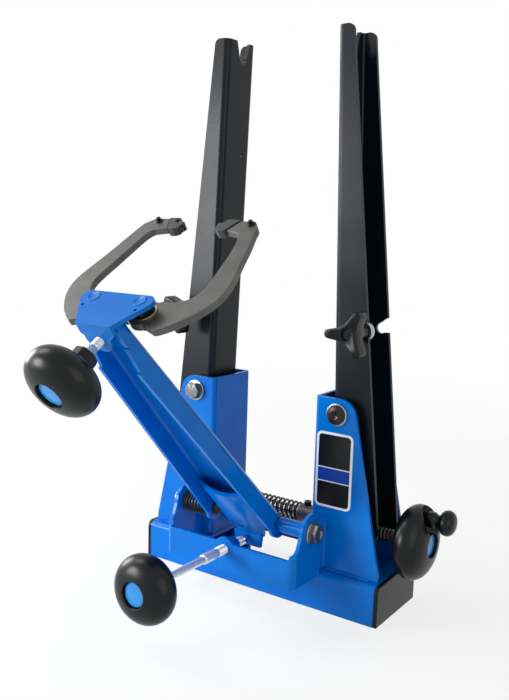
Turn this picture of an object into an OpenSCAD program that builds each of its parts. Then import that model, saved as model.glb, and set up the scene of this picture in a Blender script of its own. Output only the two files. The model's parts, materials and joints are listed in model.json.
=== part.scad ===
// Bicycle wheel truing stand: a folded steel base carries two tilting uprights that hold the
// hub axle, and a leaning arm whose two jaws close on the rim.
// Frame: +X to the crank side, -Y towards the operator, +Z up. The origin is the centre of the
// base's underside.

/* [Base] */
// Length of the base beam without its end caps
beam_len = 222; // [218:1:226]
// Depth of the base beam, front to back
beam_depth = 68; // [66:1:72]
// Height of the base beam
beam_h = 32; // [30:1:33]
// Sheet thickness of all folded parts
sheet = 3; // [2.5:0.5:3]
// Height of the upright brackets above the floor
bracket_top = 169.3; // [166:0.5:172]
// Front face of the bent front plate
front_plate_y = -70.4; // [-72:0.2:-68]

/* [Uprights] */
// Height of the tilt bolts above the floor
tilt_z = 157; // [156:0.5:158]
// Distance of each tilt bolt from the middle
tilt_x = 68.6; // [68.6:0.1:69.5]
// Inward lean of each upright
upright_lean = 2; // [1.8:0.1:2.2]
// Length of an upright above its tilt bolt
upright_above = 288.2; // [270:1:300]
// Width of an upright's web, front to back
upright_w = 38; // [36:1:38]

/* [Depth arm] */
// Distance of the arm's pivot in front of the middle
arm_y = -45.7; // [-46:0.1:-45]
// Height of the arm's pivot
arm_z = 67; // [66:0.5:68]
// Forward lean of the arm
arm_lean = 44.2; // [43:0.1:45]
// Half width of the arm at its pivot
arm_half_w = 32.4; // [31:0.2:33]

/* [Jaws] */
// Distance from each jaw's pivot to the middle
jaw_pivot_x = 19.4; // [19:0.1:20]
// Thickness of a jaw
jaw_t = 5; // [4:0.5:5]

/* [Hand parts] */
// Radius of the two round knobs
knob_r = 25.5; // [22:0.5:27]
// Half the thickness of a round knob
knob_half = 14; // [13:0.5:14]
// Radius of the crank disc
crank_r = 29.2; // [27:0.2:30]
// Radius of the flattened end of the crank's grip
grip_r = 9.8; // [8.5:0.1:10]

/* [Hidden] */
$fn = 48;

fit = 0.05;          // radial running clearance in every turning or sliding bore
gap = 0.3;           // clearance between faces that pass each other
blue = "#0a63c9";
black = "#1b1c1e";
zinc = "#b9bcc0";
chrome = "#dfe3e8";
cast = "#6d6f70";
brass = "#c9a24a";

// shaft and its bearings
shaft_z = 62;
shaft_r = 5;
shaft_end_left = -88;
crank_x = 128;       // middle of the crank disc
crank_half = 14;
shaft_end_right = crank_x - 2;
bracket_x = 48.8;    // inner face of a bracket's web
bracket_half_d = 26;
bracket_bend = 4;
bush_flange = 2;
collar_x = [25, bracket_x - bush_flange - gap];
collar_r = 8;
crank_pin_y = 4;
crank_pin_z = shaft_z + 19;
grip_end_x = crank_x + 22.5;
grip_x = crank_x + 3;

// front box and depth rod
ear_r = 14.5;
ear_x = 62;          // outer face of an ear
box_bend = 5.5;
box_bottom = 28;
box_top = 50.4;
rod_x0 = -2.7;       // the rod runs a little to the left of the middle
rod_z = 45;
rod_r = 3.9;
rod_thin_r = 3;
lug_r = 9.8;
nut_len = 10;
nut_af = 13;
rod_step_y = -97;
tip_y = -40.2;
depth_knob_y = -162;
push_face_y = tip_y + gap;

// arm, in its own frame: X across, Y towards the wheel, Z along the arm from the pivot
arm_back = 8;
arm_front = -9.6;
arm_taper = 0.0704;  // half width lost per millimetre of length
arm_bend = 6;
arm_lobe_r = 11;
arm_step_z = 219;
arm_end = 240;
pivot_bolt_r = 4;
spring_wire_r = 1;

// head, in its own frame: X across, Y towards the wheel, Z square to the head plate
head_y = -194.8;
head_z = 250.8;
head_tilt = 34.4;
head_front = -25.9;
head_corner = 14.5;
head_eye_x = 24.3;
head_eye_r = 5.8;
screw_h = -13;
screw_r = 3.2;
jaw_top = -9.5;
jaw_pin_r = 4;
tail_x = 9;          // distance of a jaw's tail pin from the middle
tail_pin_r = 1.5;
yoke_half = 4;
jaw_knob_v = -63.2;
hub_len = 9;
hub_r = 7.6;

// uprights, in their own frame: origin on the tilt bolt, Z along the upright
web_x = -9;          // inner face of the web
upright_y = 2;       // middle of the upright, front to back
upright_foot = -109;
upright_bend = 5;
depth_at_bolt = 33.7;
depth_taper = 0.0715;
tilt_bolt_r = 4;
axle_y = 4;          // middle of the axle notch
axle_r = 4.7;
axle_depth = 17.5;
axle_mouth = 8.9;
clamp_at_left = [12.5, 67];
clamp_at_right = [13.8, 63.3];
hook_r = 4.2;
nut_x = 76.3;        // middle of the right shaft nut
nut_r = 8;
trunnion_r = 5;

// ---------------------------------------------------------------- shared shapes
module both() { children(); mirror([1, 0, 0]) children(); }

module rod_x(x0, x1, r, y = 0, z = 0) {
    translate([x0, y, z]) rotate([0, 90, 0]) cylinder(h = x1 - x0, r = r);
}

module rod_y(y0, y1, r, x = 0, z = 0) {
    translate([x, y0, z]) rotate([-90, 0, 0]) cylinder(h = y1 - y0, r = r);
}

// hexagon across flats af, along +Z
module hex(h, af) { cylinder(h = h, r = af / 2 / cos(30), $fn = 6); }

// rectangle with a radius at each corner
module round_rect(w, d, r) {
    square([w - 2 * r, d], center = true);
    square([w, d - 2 * r], center = true);
    for (x = [-1, 1], y = [-1, 1]) translate([x * (w / 2 - r), y * (d / 2 - r)]) circle(r = r);
}

// slot of radius r whose two centres are len apart along Y
module slot2(r, len) {
    square([2 * r, len], center = true);
    for (s = [-1, 1]) translate([0, s * len / 2]) circle(r = r);
}

// section of a folded channel: web on x = 0, flanges towards +X, from y = a to y = b
module channel2(a, b, depth, t, r) {
    difference() {
        union() {
            translate([r, a]) square([depth - r, b - a]);
            translate([0, a + r]) square([r, b - a - 2 * r]);
            for (y = [a + r, b - r]) translate([r, y]) circle(r = r);
        }
        translate([r, a + t]) square([depth, b - a - 2 * t]);
        translate([t, a + r]) square([r - t + 0.01, b - a - 2 * r]);
        for (y = [a + r, b - r]) translate([r, y]) circle(r = r - t);
    }
}

// point where a line from p touches the circle (c, r), on the right-hand side
function touch(p, c, r) =
    let (v = c - p, d = norm(v), a = atan2(v.y, v.x) - asin(r / d), l = sqrt(d * d - r * r))
    p + l * [cos(a), sin(a)];

// Catmull-Rom curve through the inner points of pts, n steps a span
function cr(a, b, c, d, t) =
    0.5 * (2 * b + (c - a) * t + (2 * a - 5 * b + 4 * c - d) * t * t
           + (3 * b - a - 3 * c + d) * t * t * t);
function curve(pts, n) = concat(
    [for (i = [1:len(pts) - 3], j = [0:n - 1])
        cr(pts[i - 1], pts[i], pts[i + 1], pts[i + 2], j / n)],
    [pts[len(pts) - 2]]);

// round body of revolution along +Z, half width half at the rim, flat faces blended by power p
function puck(r, half, p, n) =
    [for (i = [0:n]) let (a = -90 + 180 * i / n)
        [r * pow(max(cos(a), 0), p), half * sin(a)]];

// unbroken wire coil along +Z from z = 0: a ring of 6 sides at 8 places a turn, straight ends
function coil_path(r, pitch, turns, wire) =
    let (steps = turns * 8)
    concat(
        [[r, -2 * wire, 0]],
        [for (i = [0:steps]) let (a = 360 * i / 8) [r * cos(a), r * sin(a), pitch * i / 8]],
        [[r, 2 * wire, pitch * turns]]);
function ring_at(path, i, wire) =
    let (last = len(path) - 1,
         t0 = path[min(i + 1, last)] - path[max(i - 1, 0)],
         t = t0 / norm(t0),
         u0 = [path[i].x, path[i].y, 0],
         u1 = u0 - t * (u0 * t),
         u = u1 / norm(u1),
         v = cross(t, u))
    [for (k = [0:5]) path[i] + wire * (cos(60 * k) * u + sin(60 * k) * v)];
module coil(r, pitch, turns, wire) {
    path = coil_path(r, pitch, turns, wire);
    n = len(path);
    points = [for (i = [0:n - 1]) for (q = ring_at(path, i, wire)) q];
    sides = [for (i = [0:n - 2], k = [0:5], h = [0, 1])
        let (a = 6 * i + k, b = 6 * i + (k + 1) % 6)
        h == 0 ? [a, b, b + 6] : [a, b + 6, a + 6]];
    caps = concat(
        [for (k = [1:4]) [0, k + 1, k]],
        [for (k = [1:4]) [6 * (n - 1), 6 * (n - 1) + k, 6 * (n - 1) + k + 1]]);
    near = [for (i = [0:n - 9]) norm(path[i + 8] - path[i]) - 2 * wire];
    echo(coil_gap = min(near), rings = n);
    polyhedron(points, concat(sides, caps));
}

// ---------------------------------------------------------------- frames
module arm_frame() { translate([0, arm_y, arm_z]) rotate([arm_lean, 0, 0]) children(); }
module head_frame() { translate([0, head_y, head_z]) rotate([head_tilt, 0, 0]) children(); }
module upright_frame() { translate([tilt_x, 0, tilt_z]) rotate([0, -upright_lean, 0]) children(); }

// ---------------------------------------------------------------- base
module beam_section(inset) {
    r = 5 - inset / 2;
    w = beam_depth - 2 * inset;
    h = beam_h - 2 * inset;
    translate([-w / 2, inset]) square([w, h - r]);
    translate([-w / 2 + r, inset]) square([w - 2 * r, h]);
    for (s = [-1, 1]) translate([s * (w / 2 - r), inset + h - r]) circle(r = r);
}

module along_x(x0, x1) {
    translate([x0, 0, 0]) rotate([90, 0, 90]) linear_extrude(x1 - x0) children();
}

window_x = bracket_x - 0.6;
rail_y = 28;
rail_z = 23;
bench_x = 85;
bench_y = 20;
bench_r = 3.3;

module base_beam() {
    half = beam_len / 2;
    color(blue) difference() {
        along_x(-half, half) beam_section(0);
        along_x(-half - 1, half + 1) beam_section(sheet);
        translate([-window_x, -beam_depth / 2 + sheet, -1])
            cube([2 * window_x, beam_depth / 2 - sheet + rail_y, beam_h + 2]);
        translate([-window_x, rail_y - 1, -1])
            cube([2 * window_x, beam_depth, rail_z + 1]);
        for (x = [-1, 1], y = [-1, 1])
            translate([x * bench_x, y * bench_y, -1]) cylinder(h = sheet + 2, r = bench_r);
    }
}

cap_t = 3.3;
plug_len = 8;
module end_cap() {
    half = beam_len / 2;
    color(black) difference() {
        union() {
            along_x(half, half + cap_t) beam_section(0);
            along_x(half - plug_len, half) beam_section(sheet);
        }
        along_x(half - plug_len - 1, half) beam_section(2 * sheet);
    }
}
module end_caps() { both() end_cap(); }

// side wall of the front box in (y, z), with its ear
module ear2() {
    rear = -bracket_half_d;
    wall = -beam_depth / 2;
    shoulder = arm_y - ear_r;
    polygon([
        [front_plate_y, box_bottom], [wall, box_bottom], [wall, beam_h], [rear, beam_h],
        [rear, arm_z + 7], [arm_y + ear_r * sin(30), arm_z + ear_r * cos(30)],
        [arm_y, arm_z], [shoulder, arm_z], [shoulder - 3.5, arm_z - 8.5],
        [front_plate_y, box_top]
    ]);
    translate([arm_y, arm_z]) circle(r = ear_r);
}

// front wall between the bends, with the lug round the depth rod
module front_wall2() {
    half = ear_x - box_bend;
    translate([-half, box_bottom]) square([2 * half, box_top - box_bottom]);
    translate([rod_x0, rod_z]) circle(r = lug_r);
    // hollow blends of radius r at the lug's two feet
    r = 3;
    up = box_top + r - rod_z;
    out = sqrt((lug_r + r) * (lug_r + r) - up * up);
    k = lug_r / (lug_r + r);
    translate([rod_x0, rod_z]) for (s = [-1, 1]) scale([s, 1]) difference() {
        polygon([[0, up - r - 2], [out, up - r - 2], [out, up - r], k * [out, up], [0, 0]]);
        translate([out, up]) circle(r = r + fit);
    }
}

module front_box() {
    color(blue) difference() {
        intersection() {
            translate([0, front_plate_y, box_bottom]) rotate([0, 0, 90])
                linear_extrude(arm_z + ear_r + 1 - box_bottom)
                channel2(-ear_x, ear_x, -bracket_half_d - front_plate_y, sheet, box_bend);
            union() {
                both() translate([ear_x - box_bend, 0, 0]) along_x(0, box_bend + 1) ear2();
                translate([0, front_plate_y + sheet, 0]) rotate([90, 0, 0])
                    linear_extrude(sheet) front_wall2();
            }
        }
        both() rod_x(ear_x - sheet - 1, ear_x + 1, pivot_bolt_r + fit, arm_y, arm_z);
        rod_y(front_plate_y - 1, front_plate_y + sheet + 1, rod_r + fit, rod_x0, rod_z);
    }
}

bracket_eye = [70.3, 154.8];
bracket_eye_r = 14.5;
bracket_toe = [109.6, 38];
module bracket2() {
    t = touch(bracket_toe, bracket_eye, bracket_eye_r);
    polygon([[bracket_x, beam_h], [bracket_toe.x, beam_h], bracket_toe, t,
             [bracket_eye.x, bracket_eye.y], [bracket_eye.x, bracket_top],
             [bracket_x, bracket_top]]);
    translate(bracket_eye) circle(r = bracket_eye_r);
}

module bracket() {
    color(blue) difference() {
        intersection() {
            translate([bracket_x, 0, beam_h]) linear_extrude(bracket_top - beam_h + 1)
                channel2(-bracket_half_d, bracket_half_d, 62, sheet, bracket_bend);
            translate([0, 30, 0]) rotate([90, 0, 0]) linear_extrude(60) bracket2();
        }
        rod_y(-30, 30, tilt_bolt_r + fit, tilt_x, tilt_z);
        rod_x(bracket_x - 1, bracket_x + sheet + 1, 7.5, 0, shaft_z);
    }
}
module bracket_right() { bracket(); }
module bracket_left() { mirror([1, 0, 0]) bracket(); }

label_t = 0.5;
module label_plate() {
    color(black) translate([68, -bracket_half_d, 112.5]) rotate([90, 0, 0])
        linear_extrude(label_t) round_rect(31.6, 60, 4.5);
}

module shaft_bush() {
    color(zinc) difference() {
        union() {
            rod_x(bracket_x - bush_flange, bracket_x, 11, 0, shaft_z);
            rod_x(bracket_x, bracket_x + sheet + 0.4, 7.5, 0, shaft_z);
        }
        rod_x(bracket_x - 5, bracket_x + 8, shaft_r + fit, 0, shaft_z);
    }
}
module shaft_bushes() { both() shaft_bush(); }

seat_t = 1.5;
seat_x = -bracket_x + bush_flange;
module spring_seat() {
    color(zinc) difference() {
        rod_x(seat_x, seat_x + seat_t, 9, 0, shaft_z);
        rod_x(seat_x - 1, seat_x + seat_t + 1, shaft_r + fit, 0, shaft_z);
    }
}

shaft_spring_wire = 0.97;
shaft_spring_r = 7.4;
shaft_spring_turns = 16;
module shaft_spring() {
    x0 = seat_x + seat_t + shaft_spring_wire;
    x1 = collar_x[0] - shaft_spring_wire - gap;
    color(black) translate([x0, 0, shaft_z]) rotate([0, 90, 0])
        coil(shaft_spring_r, (x1 - x0) / shaft_spring_turns, shaft_spring_turns,
             shaft_spring_wire);
}

// ---------------------------------------------------------------- tilt joints of the uprights
tilt_washer_r = 8.8;
tilt_washer_t = 1.6;
tilt_head_af = 13;
tilt_button_r = 7.6;
module tilt_shank() {
    face = -bracket_half_d;
    rod_y(face - tilt_washer_t, face, tilt_washer_r, tilt_x, tilt_z);
    rod_y(face - tilt_washer_t, bracket_half_d + 8.5, tilt_bolt_r, tilt_x, tilt_z);
}
module tilt_bolts() {
    seat = -bracket_half_d - tilt_washer_t;
    color(zinc) {
        tilt_shank();
        rod_y(seat - 3, seat, tilt_button_r, tilt_x, tilt_z);
        mirror([1, 0, 0]) {
            tilt_shank();
            translate([tilt_x, seat, tilt_z]) rotate([90, 0, 0]) hex(5.3, tilt_head_af);
        }
    }
}

function upright_face(side) = upright_y + side * upright_w / 2;
module tilt_spacers() {
    inner = bracket_half_d - sheet;
    color(zinc) both() difference() {
        union() {
            rod_y(-inner, upright_face(-1) - fit, 9, tilt_x, tilt_z);
            rod_y(upright_face(1) + fit, inner, 9, tilt_x, tilt_z);
        }
        rod_y(-inner - 1, inner + 1, tilt_bolt_r + fit, tilt_x, tilt_z);
    }
}

module tilt_nuts() {
    color(zinc) both() difference() {
        translate([tilt_x, bracket_half_d, tilt_z]) rotate([-90, 0, 0]) hex(6.5, tilt_head_af);
        rod_y(bracket_half_d - 1, bracket_half_d + 7.5, tilt_bolt_r, tilt_x, tilt_z);
    }
}

// ---------------------------------------------------------------- depth arm pivot and rod
arm_washer_r = 9;
arm_head_af = 13;
pivot_bolt_in = 27.9;
module arm_pivot_bolts() {
    seat = ear_x + 1.5;
    color("#8a8780") both() {
        rod_x(ear_x, seat, arm_washer_r, arm_y, arm_z);
        translate([seat, arm_y, arm_z]) rotate([0, 90, 0]) rotate(14) hex(5.3, arm_head_af);
        rod_x(pivot_bolt_in, seat, pivot_bolt_r, arm_y, arm_z);
    }
}

sleeve_x = [arm_half_w + 1.2, ear_x - sheet];
sleeve_r = 6;
module arm_pivot_sleeves() {
    color(blue) both() difference() {
        rod_x(sleeve_x[0], sleeve_x[1], sleeve_r, arm_y, arm_z);
        rod_x(sleeve_x[0] - 1, sleeve_x[1] + 1, pivot_bolt_r + fit, arm_y, arm_z);
    }
}

arm_spring_turns = 8;
module arm_spring() {
    x0 = sleeve_x[0] + spring_wire_r;
    x1 = sleeve_x[1] - spring_wire_r - gap;
    color(black) mirror([1, 0, 0]) translate([x0, arm_y, arm_z]) rotate([0, 90, 0])
        coil(8, (x1 - x0) / arm_spring_turns, arm_spring_turns, spring_wire_r);
}

module depth_nut() {
    y0 = front_plate_y + sheet;
    color(blue) difference() {
        translate([rod_x0, y0, rod_z]) rotate([-90, 0, 0]) hex(nut_len, nut_af);
        rod_y(y0 - 1, y0 + nut_len + 1, rod_r + fit, rod_x0, rod_z);
    }
}

tip_len = 6.6;
tip_stub_r = 1.8;
tip_dome_r = 4.5;
module depth_tip() {
    color(chrome) difference() {
        intersection() {
            rod_y(tip_y - tip_len, tip_y + 1, rod_r, rod_x0, rod_z);
            translate([rod_x0, tip_y - tip_dome_r, rod_z]) sphere(r = tip_dome_r);
        }
        rod_y(tip_y - tip_len - 1, tip_y - 3, tip_stub_r + fit, rod_x0, rod_z);
    }
}

module depth_rod() {
    color(chrome) {
        rod_y(rod_step_y, tip_y - tip_len - fit, rod_r, rod_x0, rod_z);
        rod_y(depth_knob_y, rod_step_y, rod_thin_r, rod_x0, rod_z);
        rod_y(tip_y - tip_len - 1, tip_y - 3.4, tip_stub_r, rod_x0, rod_z);
    }
}

// round knob along +Z: domed face at +Z with a recess, hub at -Z, blind bore for a rod
inlay_r = 9;
recess = 3.6;
module round_knob(bore, hub) {
    difference() {
        union() {
            rotate_extrude() polygon(puck(knob_r, knob_half, 0.72, 28));
            translate([0, 0, -knob_half - hub_len + 3]) cylinder(h = hub_len, r = hub);
        }
        translate([0, 0, knob_half - recess]) cylinder(h = 5, r = inlay_r + 0.5);
        translate([0, 0, -knob_half - hub_len - 1]) cylinder(h = knob_half + hub_len + 1, r = bore);
    }
}
module inlay(r) {
    rotate_extrude() polygon([[0, 0], [r, 0], [r, 0.7], [r * 0.8, 1.1], [0, 1.4]]);
}

module depth_knob_place() {
    translate([rod_x0, depth_knob_y, rod_z]) rotate([90, 0, 0]) children();
}
module depth_knob() { color(black) depth_knob_place() round_knob(rod_thin_r, hub_r); }
module depth_knob_inlay() {
    color(blue) depth_knob_place() translate([0, 0, knob_half - recess]) inlay(inlay_r);
}

// ---------------------------------------------------------------- depth arm
// side view of the arm in its own (y, z)
module arm_side2() {
    circle(r = arm_lobe_r);
    polygon([
        [arm_back, -3], [arm_back, arm_end], [-5, arm_end], [-3.6, arm_step_z],
        [arm_front + 2, arm_step_z], [arm_front, arm_step_z - 3], [arm_front, 4], [0, 0], [0, -8]
    ]);
}

// solid section of the arm's right half, t inside its outer faces, from the flange inwards
module arm_block2(t) {
    r = arm_bend - t;
    translate([-45, arm_back - 30 - t]) square([45 - t, 30 - arm_bend + t]);
    translate([-45, arm_back - arm_bend - 0.01]) square([45 - arm_bend, r + 0.01]);
    translate([-arm_bend, arm_back - arm_bend]) circle(r = r);
}

// runs a section along the slanting right flange
module along_flange() {
    translate([arm_half_w, 0, 0]) rotate([0, -atan(arm_taper), 0]) translate([0, 0, -30])
        linear_extrude(290) children();
}

module arm_half() {
    intersection() {
        along_flange() difference() {
            arm_block2(0);
            arm_block2(sheet);
        }
        rotate([90, 0, 90]) linear_extrude(60) arm_side2();
    }
}

module below_head(depth) {
    // the half space under the head plate, as a block
    head_frame() translate([-60, -60, -300 - depth]) cube([120, 120, 300]);
}

web_foot = 16;
module arm() {
    color(blue) difference() {
        intersection() {
            arm_frame() both() arm_half();
            union() {
                below_head(sheet);
                translate([-60, -80, 0]) cube([120, 120, 120]);
            }
        }
        // the web stops short of the pivot, so only the two lobes reach it
        arm_frame() both() intersection() {
            along_flange() translate([-60, -15]) square([60 - sheet, 30]);
            translate([-1, -15, -20]) cube([60, 30, 20 + web_foot]);
        }
        // the flanges end behind the head's lip
        head_frame() translate([-40, head_front - 20, -40]) cube([80, 20 + sheet + 0.2, 50]);
        rod_x(-50, 50, pivot_bolt_r + fit, arm_y, arm_z);
        head_frame() rod_y(-30, 0, screw_r + 1.3, 0, screw_h);
    }
}

shell_r = 48;
shell_front = -8;
shell_top = 44;
shell_foot = -20;
shell_free_half = 27.3;  // half width beside the pivot bolts, clear of their ends
push_x = -1.3;
push_half = 12.4;
push_foot = 39.6;
push_top = 51;

// outline of the bowed plate in the arm's (x, z): between the flanges, then drawn in to a neck
module shell2() {
    neck = push_half + 2.2;
    polygon([
        [-50, shell_top], [50, shell_top], [50, 9.5], [shell_free_half, 9.5],
        [shell_free_half, 3], [22, -4.5], [neck + 1.5, -9.5], [neck, -13], [neck - 1, shell_foot],
        [2 * push_x - neck + 1, shell_foot], [2 * push_x - neck, -13],
        [2 * push_x - neck - 1.5, -9.5], [-22, -4.5], [-shell_free_half, 3],
        [-shell_free_half, 9.5], [-50, 9.5]
    ]);
}

module arm_push_plate() {
    c = shell_front + shell_r;
    color(blue) difference() {
        union() {
            intersection() {
                arm_frame() intersection() {
                    translate([0, c, shell_foot]) linear_extrude(shell_top - shell_foot)
                        difference() {
                            circle(r = shell_r, $fn = 96);
                            circle(r = shell_r - sheet, $fn = 96);
                        }
                    both() intersection() {
                        along_flange() arm_block2(sheet);
                        translate([0, -30, -29]) cube([60, 60, 90]);
                    }
                    translate([0, 30, 0]) rotate([90, 0, 0]) linear_extrude(60) shell2();
                }
                // nothing of it stands behind the pressed face
                translate([-60, push_face_y + sheet - 100, 0]) cube([120, 100, 130]);
            }
            // upright pressed face that the rod's tip bears on
            translate([push_x, push_face_y + sheet, 0]) rotate([90, 0, 0]) linear_extrude(sheet)
                polygon([[-push_half, push_foot], [push_half, push_foot],
                         [push_half + 1.2, push_top], [-push_half - 1.2, push_top]]);
        }
        // small slot above the fold
        translate([rod_x0, arm_y + 12, 57]) rotate([90, 0, 0]) linear_extrude(24) rotate(90)
            slot2(1.5, 3.4);
    }
}

clip_t = 0.8;
module arm_pivot_clips() {
    color(black) both() difference() {
        rod_x(pivot_bolt_in, pivot_bolt_in + clip_t, 6.3, arm_y, arm_z);
        rod_x(pivot_bolt_in - 1, pivot_bolt_in + 2, pivot_bolt_r, arm_y, arm_z);
    }
}

// ---------------------------------------------------------------- head
module head2() {
    eye = [head_eye_x, 0];
    t = touch([head_corner, head_front], eye, head_eye_r);
    polygon([
        [-head_corner, head_front], [head_corner, head_front], t, eye, [eye.x, head_eye_r],
        [-eye.x, head_eye_r], -eye, [-t.x, t.y]
    ]);
    for (s = [-1, 1]) translate(s * eye) circle(r = head_eye_r);
}

lip_bottom = -22;
module head_plate() {
    color(blue) head_frame() difference() {
        union() {
            translate([0, 0, -sheet]) linear_extrude(sheet) head2();
            // bent lip with a lobe round the screw
            translate([0, head_front + sheet, 0]) rotate([90, 0, 0]) linear_extrude(sheet) {
                polygon([[-head_corner, 0], [head_corner, 0], [head_corner, -8], [8, screw_h],
                         [-8, screw_h], [-head_corner, -8]]);
                translate([0, screw_h]) circle(r = -lip_bottom + screw_h);
            }
        }
        for (s = [-1, 1]) translate([s * jaw_pivot_x, 0, -sheet - 1])
            cylinder(h = sheet + 2, r = jaw_pin_r);
        for (s = [-1, 1]) translate([s * 22.4, -8.6, -sheet - 1]) cylinder(h = 5, r = 1.2);
        rod_y(head_front - 1, head_front + sheet + 1, screw_r + fit, 0, screw_h);
    }
}

jaw_nut_len = 4.5;
module jaw_screw_nut() {
    y0 = head_front + sheet;
    color(zinc) head_frame() difference() {
        translate([0, y0, screw_h]) rotate([-90, 0, 0]) hex(jaw_nut_len, 11);
        rod_y(y0 - 1, y0 + jaw_nut_len + 1, screw_r + fit, 0, screw_h);
    }
}

module at_jaw_pivots() {
    for (s = [-1, 1]) translate([s * jaw_pivot_x, 0, 0]) children();
}

pin_foot = jaw_top - jaw_t - 5;
module jaw_pins() {
    color(zinc) head_frame() at_jaw_pivots() {
        translate([0, 0, pin_foot]) cylinder(h = -pin_foot, r = jaw_pin_r);
        cylinder(h = 0.5, r = 4.8);
    }
}

module jaw_pin_nuts() {
    color(black) head_frame() at_jaw_pivots() difference() {
        translate([0, 0, pin_foot + 0.6]) hex(4.2, 12);
        translate([0, 0, pin_foot]) cylinder(h = 6, r = jaw_pin_r);
    }
}

washer_t = 0.8;
module jaw_spacers() {
    color(black) head_frame() at_jaw_pivots() difference() {
        translate([0, 0, jaw_top + washer_t + 0.1])
            cylinder(h = -jaw_top - washer_t - 0.1 - sheet, r = 7.3);
        translate([0, 0, jaw_top]) cylinder(h = 10, r = jaw_pin_r);
    }
}

module jaw_washers() {
    color(brass) head_frame() at_jaw_pivots() difference() {
        translate([0, 0, jaw_top + 0.1]) cylinder(h = washer_t, r = 8.2);
        translate([0, 0, jaw_top - 1]) cylinder(h = 10, r = jaw_pin_r);
    }
}

// ---------------------------------------------------------------- jaw drive
yoke_x = 10.9;
yoke_boss = 4.7;
yoke_top = -sheet - gap;
yoke_step = jaw_top + gap;
clip_v = 2;
module jaw_yoke() {
    color(zinc) head_frame() difference() {
        union() {
            translate([-yoke_x, -yoke_half, yoke_step])
                cube([2 * yoke_x, 2 * yoke_half, yoke_top - yoke_step]);
            translate([-yoke_boss, -yoke_half, screw_h - 5])
                cube([2 * yoke_boss, 2 * yoke_half, yoke_step - screw_h + 5.1]);
        }
        rod_y(-yoke_half - 1, yoke_half + 1, 2.4 + fit, 0, screw_h);
        for (s = [-1, 1]) translate([s * (tail_x + 2), 0, yoke_step - 1])
            linear_extrude(20) square([8, 2 * tail_pin_r + 0.5], center = true);
    }
}

module jaw_screw() {
    color(chrome) head_frame() {
        rod_y(jaw_knob_v, -yoke_half - fit, screw_r, 0, screw_h);
        rod_y(-yoke_half - 1, yoke_half + clip_v, 2.4, 0, screw_h);
        // retaining ring behind the yoke
        rod_y(yoke_half + fit, yoke_half + 1.2, 4.2, 0, screw_h);
    }
}

module jaw_knob_place() {
    head_frame() translate([0, jaw_knob_v, screw_h]) rotate([90, 0, 0]) children();
}
module jaw_knob() { color(black) jaw_knob_place() round_knob(screw_r, hub_r); }
module jaw_knob_inlay() {
    color(blue) jaw_knob_place() translate([0, 0, knob_half - recess]) inlay(inlay_r);
}

// ---------------------------------------------------------------- jaws
shim_t = 1.2;        // black shim between a jaw and its tip
jaw_set = 1.7;       // the left jaw's free end stands this much further out, the right one's in

// outer and inner edges of a jaw, seen square to the head plate, its free end moved out by s
function jaw_outer(s) =
    [[25, -12], [35.5, -14.5], [45.5, -8], [53.5, 0.5], [59.8, 10], [63.4, 20], [64, 30],
     [62, 42], [58.5 + 0.3 * s, 57], [55 + 0.8 * s, 75], [51.8 + 1.4 * s, 89],
     [50 + 1.4 * s, 96], [46 + 1.3 * s, 100]];
function jaw_inner(s) =
    [[30 + s, 89], [36.5 + s, 88.5], [40.3 + 0.8 * s, 83], [42.3 + 0.4 * s, 75], [44.2, 62],
     [45.4, 50], [46.9, 37], [47, 27], [43.5, 18], [35, 13], [24, 12.2], [14, 9]];
module jaw2(s) {
    head = [[46.5 + 1.2 * s, 100], [44 + s, 102.5], [31 + shim_t + s, 102.5],
            [25.4 + shim_t + s, 90.8]];
    polygon(concat([[12, -5]], curve(jaw_outer(s), 6), head, curve(jaw_inner(s), 6)));
    translate([jaw_pivot_x, 0]) circle(r = 11.6);
    translate([tail_x, 0]) circle(r = 3.6);
    translate([tail_x, -3]) square([6, 6]);
}

module jaw(s) {
    color(cast) head_frame() difference() {
        translate([0, 0, jaw_top - jaw_t]) linear_extrude(jaw_t) jaw2(s);
        translate([jaw_pivot_x, 0, jaw_top - jaw_t - 1])
            cylinder(h = jaw_t + 2, r = jaw_pin_r + fit);
        translate([tail_x, 0, jaw_top - jaw_t - 1]) cylinder(h = jaw_t + 2, r = tail_pin_r);
    }
}
module jaw_right() { jaw(-jaw_set); }
module jaw_left() { mirror([1, 0, 0]) jaw(jaw_set); }

tip_top = jaw_top + 0.6;
tip_t = 6.4;
nose_u = 14.8;
nose_v = 94;
nose_h = jaw_top - 3;
nose_r = 3;
module jaw_tip(s) {
    color("#8b8d8e") head_frame() translate([s, 0, 0]) difference() {
        translate([0, 0, tip_top - tip_t]) linear_extrude(tip_t)
            polygon([[16.6, 91.5], [15.2, 98.4], [18.6, 98.9], [21.2, 103.2], [30.6, 103],
                     [31, 102.5], [25.4, 90.8], [24.6, 89.4], [20, 89.4]]);
        rod_x(nose_u, nose_u + 7, nose_r, nose_v, nose_h);
    }
}
module jaw_tip_right() { jaw_tip(-jaw_set); }
module jaw_tip_left() { mirror([1, 0, 0]) jaw_tip(jaw_set); }

module jaw_nose(s) {
    color(black) head_frame() translate([s, 0, 0]) {
        rod_x(nose_u, nose_u + 7, nose_r, nose_v, nose_h);
        translate([0, 0, tip_top - tip_t + 1]) linear_extrude(tip_t - 1.5)
            polygon([[31, 102.5], [31 + shim_t, 102.5], [25.4 + shim_t, 90.8], [25.4, 90.8]]);
    }
}
module jaw_nose_right() { jaw_nose(-jaw_set); }
module jaw_nose_left() { mirror([1, 0, 0]) jaw_nose(jaw_set); }

module jaw_tail_pin() {
    color(zinc) head_frame() translate([tail_x, 0, jaw_top - jaw_t])
        cylinder(h = jaw_t + 4.6, r = tail_pin_r);
}
module jaw_tail_pin_right() { jaw_tail_pin(); }
module jaw_tail_pin_left() { mirror([1, 0, 0]) jaw_tail_pin(); }

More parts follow.
